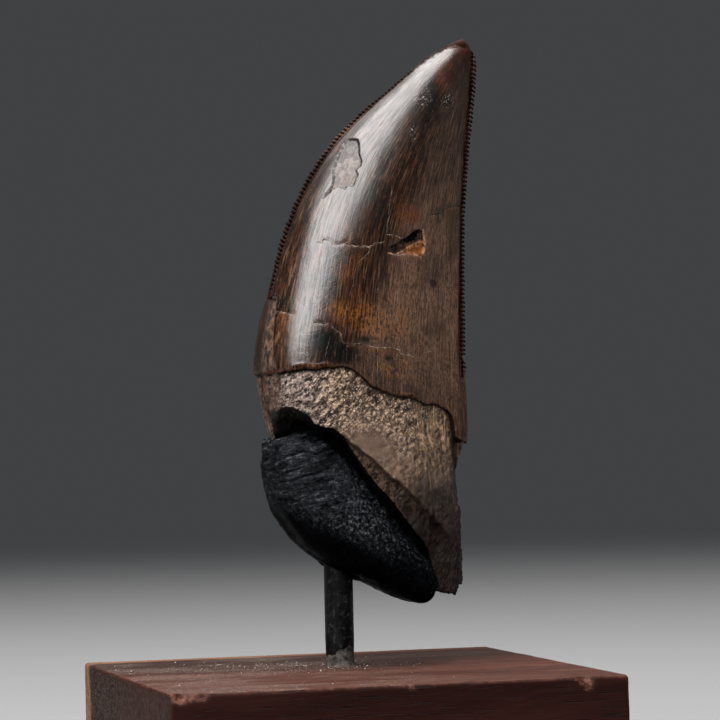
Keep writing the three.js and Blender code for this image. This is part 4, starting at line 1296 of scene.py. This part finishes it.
def post_material():
    """Black paint on steel, rubbed back to bare grey metal and smeared with glue at the foot."""
    m = Shader("painted_post")
    scuff = m.noise(1.3, 5, 0.7)
    drag = m.noise((1.3, 1.3, 0.5), 5, 0.65)
    m.colour = drag.shade(0.45, 0.62, (0.0007, 0.0008, 0.001), (0.0035, 0.0038, 0.0044))
    m.paint(scuff.ramp(0.54, 0.66, 0, 0.6), (0.02, 0.02, 0.0205))
    sided = m.x.ramp(-1.6, 2.2, -0.35, 0.3)
    bare = (m.mark("bare") + sided + (scuff - 0.5) * 1.6).ramp(0.42, 0.56)
    m.paint(bare, scuff.shade(0.35, 0.65, (0.01, 0.009, 0.008), (0.06, 0.053, 0.047)))
    m.paint((m.mark("height") + drag * 0.9).ramp(31.2, 30.9) * 0.5, (0.05, 0.031, 0.02))
    normal = m.bump(bare, -0.06, 0.7, m.bump(scuff, 0.1, 0.8))
    return m.finish(scuff.ramp(0.3, 0.7, 0.3, 0.5), normal, IOR=1.5, Specular_IOR_Level=0.1)


def walnut_material():
    """Oiled walnut: grain along X, open pores, a paler band of sapwood at the back, rubbed edges and
    painted shade on the front and back faces.
    """
    m = Shader("walnut")
    across, along, upright = m.split(m.out("NewGeometry", key="Normal"))
    rings = m.noise((0.014, 0.17, 0.17), 5, 0.6, 1.2)
    fine = m.noise((0.05, 1.3, 1.3), 5, 0.65)
    pore = m.noise((0.16, 3.4, 3.4), 3, 0.6)
    m.colour = rings.shade(0.35, 0.65, (0.026, 0.0092, 0.0062), (0.047, 0.0172, 0.0118))
    m.paint(fine.ramp(0.38, 0.68, 0, 0.6), (0.042, 0.0152, 0.0098))
    m.paint(m.y.ramp(-8, 20, 0, 0.8), (0.0072, 0.0034, 0.0024))
    # Painted shade: the front and back faces are painted darker than the top and the ends.
    dark = rings.shade(0.35, 0.65, (0.0065, 0.0017, 0.0014), (0.0145, 0.0038, 0.003))
    m.paint(abs(along).ramp(0.4, 0.7) * 0.95, dark)
    end = abs(across).ramp(0.5, 0.8)
    ends = m.y.shade(24, -20, (0.0062, 0.002, 0.0012), (0.023, 0.0082, 0.0048))
    bands = m.noise((0.02, 0.42, 0.05), 4, 0.7)
    m.paint(end * 0.94, bands.ramp(0.42, 0.6, 0, 0.6).mix(ends, (0.0035, 0.0016, 0.0011)))
    open_ = pore.ramp(0.55, 0.66)
    m.paint(open_ * 0.7, (0.004, 0.002, 0.0016))
    m.paint(end * (pore.ramp(0.47, 0.38) * m.y.ramp(-16, 16, 0.12, 0.7)), (0.08, 0.046, 0.031))
    wavy = m.y + (rings - 0.5) * 6
    sap = wavy.ramp(SAPWOOD, SAPWOOD + 2.5) * m.x.ramp(14, -4, 0.25, 1)
    pale = fine.shade(0.4, 0.65, (0.1, 0.045, 0.023), (0.2, 0.105, 0.06))
    m.paint(sap * 0.85, (1 - end).clamped().mix(pale, m.scaled(pale, (0.7, 0.58, 0.5))))
    rubbed = m.mark("edge").ramp(0.55, 0.1) * m.noise(0.35, 5, 0.7).ramp(0.42, 0.66)
    m.paint(rubbed * 0.7, (0.055, 0.0185, 0.0115))
    knocked = m.noise(1.2, 4, 0.7).shade(0.42, 0.6, (0.02, 0.0065, 0.004), (0.08, 0.033, 0.022))
    m.paint(m.mark("bites") * 0.85, knocked)

    # Dust on the top: specks, a thin film and the loose crumbs.
    drift = m.noise((0.07, 0.14, 0.1), 4, 0.6).ramp(0.4, 0.6, 0.1, 1) * m.x.ramp(16, -8, 0.25, 1)
    upward = upright.ramp(0.7, 0.95)
    m.paint(m.cells(2.2).ramp(0.3, 0.18) * drift * upward * 0.7, (0.15, 0.115, 0.098))
    film = m.noise(0.8, 5, 0.8).ramp(0.4, 0.6, 0.1, 0.3)
    m.paint(drift * upward * film, (0.11, 0.082, 0.07))
    grains = m.noise(1.1, 2, 0.5).shade(0.4, 0.6, (0.05, 0.036, 0.03), (0.2, 0.17, 0.15))
    m.paint(m.mark("crumb"), grains)
    normal = m.bump(fine * 0.5 - open_, 0.08, 0.8)
    return m.finish(fine.ramp(0.3, 0.7, 0.42, 0.62), normal, IOR=1.45, Specular_IOR_Level=0.05)


def floor_material():
    """A pale matt floor that fades out well away from the object."""
    m = Shader("studio_floor")
    far = m.out("VectorMath", {0: m.at}, "Value", operation="LENGTH")
    m.colour = m.noise(0.003, 2, 0.5).mix((0.142, 0.143, 0.145), (0.158, 0.159, 0.161))
    m.finish(0.8, m.bump(m.noise(0.06, 3, 0.6), 0.3, 0.2), IOR=1.4, Specular_IOR_Level=0.1)
    clear = m.out("BsdfTransparent")
    blend = m.out("MixShader", {0: far.ramp(250, 1600), 1: m.principled.outputs[0], 2: clear})
    m.plug(m.tree.nodes["Material Output"].inputs["Surface"], blend)
    return m.material


# ---- the studio ----

YAW, PITCH, ROLL = math.radians(15.36), math.radians(1.53), math.radians(-1.23)
EYE = Vector((-0.10487, -0.39387, 0.06105))
LENS = 150.55
AIM = Vector((0, 0, 0.075))  # the lights face this point
FLOOR_RADIUS, FLOOR_CORNERS = 1.7, 96


def add_camera():
    forward = Vector((math.sin(YAW) * math.cos(PITCH), math.cos(YAW) * math.cos(PITCH), math.sin(PITCH)))
    level = Vector((math.cos(YAW), -math.sin(YAW), 0))
    upright = level.cross(forward)
    right = level * math.cos(ROLL) + upright * math.sin(ROLL)
    up = upright * math.cos(ROLL) - level * math.sin(ROLL)
    data = bpy.data.cameras.new("camera")
    data.lens, data.sensor_width = LENS, 36.0
    data.clip_start, data.clip_end = 0.01, 50.0
    camera = linked("camera", data)
    camera.matrix_world = Matrix.Translation(EYE) @ Matrix((right, up, -forward)).transposed().to_4x4()
    bpy.context.scene.camera = camera


def add_light(name, azimuth, elevation, distance, size, power, colour):
    """A soft rectangular light that faces the tooth. Azimuth 0 is in front and -90 to the left."""
    a, e = math.radians(azimuth), math.radians(elevation)
    toward = Vector((math.sin(a) * math.cos(e), -math.cos(a) * math.cos(e), math.sin(e)))
    data = bpy.data.lights.new(name, "AREA")
    data.shape = "RECTANGLE"
    data.size, data.size_y = size
    data.energy, data.color = power, colour
    light = linked(name, data)
    light.location = AIM + toward * distance
    light.rotation_mode = "QUATERNION"
    light.rotation_quaternion = toward.to_track_quat("Z", "Y")


def add_studio():
    world = bpy.data.worlds.new("studio")
    bpy.context.scene.world = world
    bpy.context.scene.view_settings.view_transform = "Standard"
    world.use_nodes = True
    sky = world.node_tree.nodes["Background"].inputs
    sky[0].default_value, sky[1].default_value = (0.72, 0.76, 0.8, 1), 0.07
    add_light("key", -43, 66, 0.8, (1.0, 1.75), 58.0, (1.0, 0.985, 0.975))
    add_light("back", 165, 60, 1.1, (1.6, 1.2), 9.0, (1.0, 0.98, 0.96))
    mesh = bpy.data.meshes.new("floor")
    angles = np.linspace(0, 2 * math.pi, FLOOR_CORNERS, endpoint=False)
    ring = [(FLOOR_RADIUS * math.cos(a), FLOOR_RADIUS * math.sin(a), 0) for a in angles]
    mesh.from_pydata(ring, [], [tuple(range(FLOOR_CORNERS))])
    floor = linked("floor", mesh)
    floor.location = (0, 0, -0.0002)
    mesh.materials.append(floor_material())


def dress():
    edge = serration_material()
    build_crown().data.materials.append(enamel_material())
    for name in SERRATED:
        build_serration(name).data.materials.append(edge)
    build_root().data.materials.append(root_material())
    build_cradle().data.materials.append(putty_material())
    build_post().data.materials.append(post_material())
    build_base().data.materials.append(walnut_material())


add_camera()
dress()
add_studio()
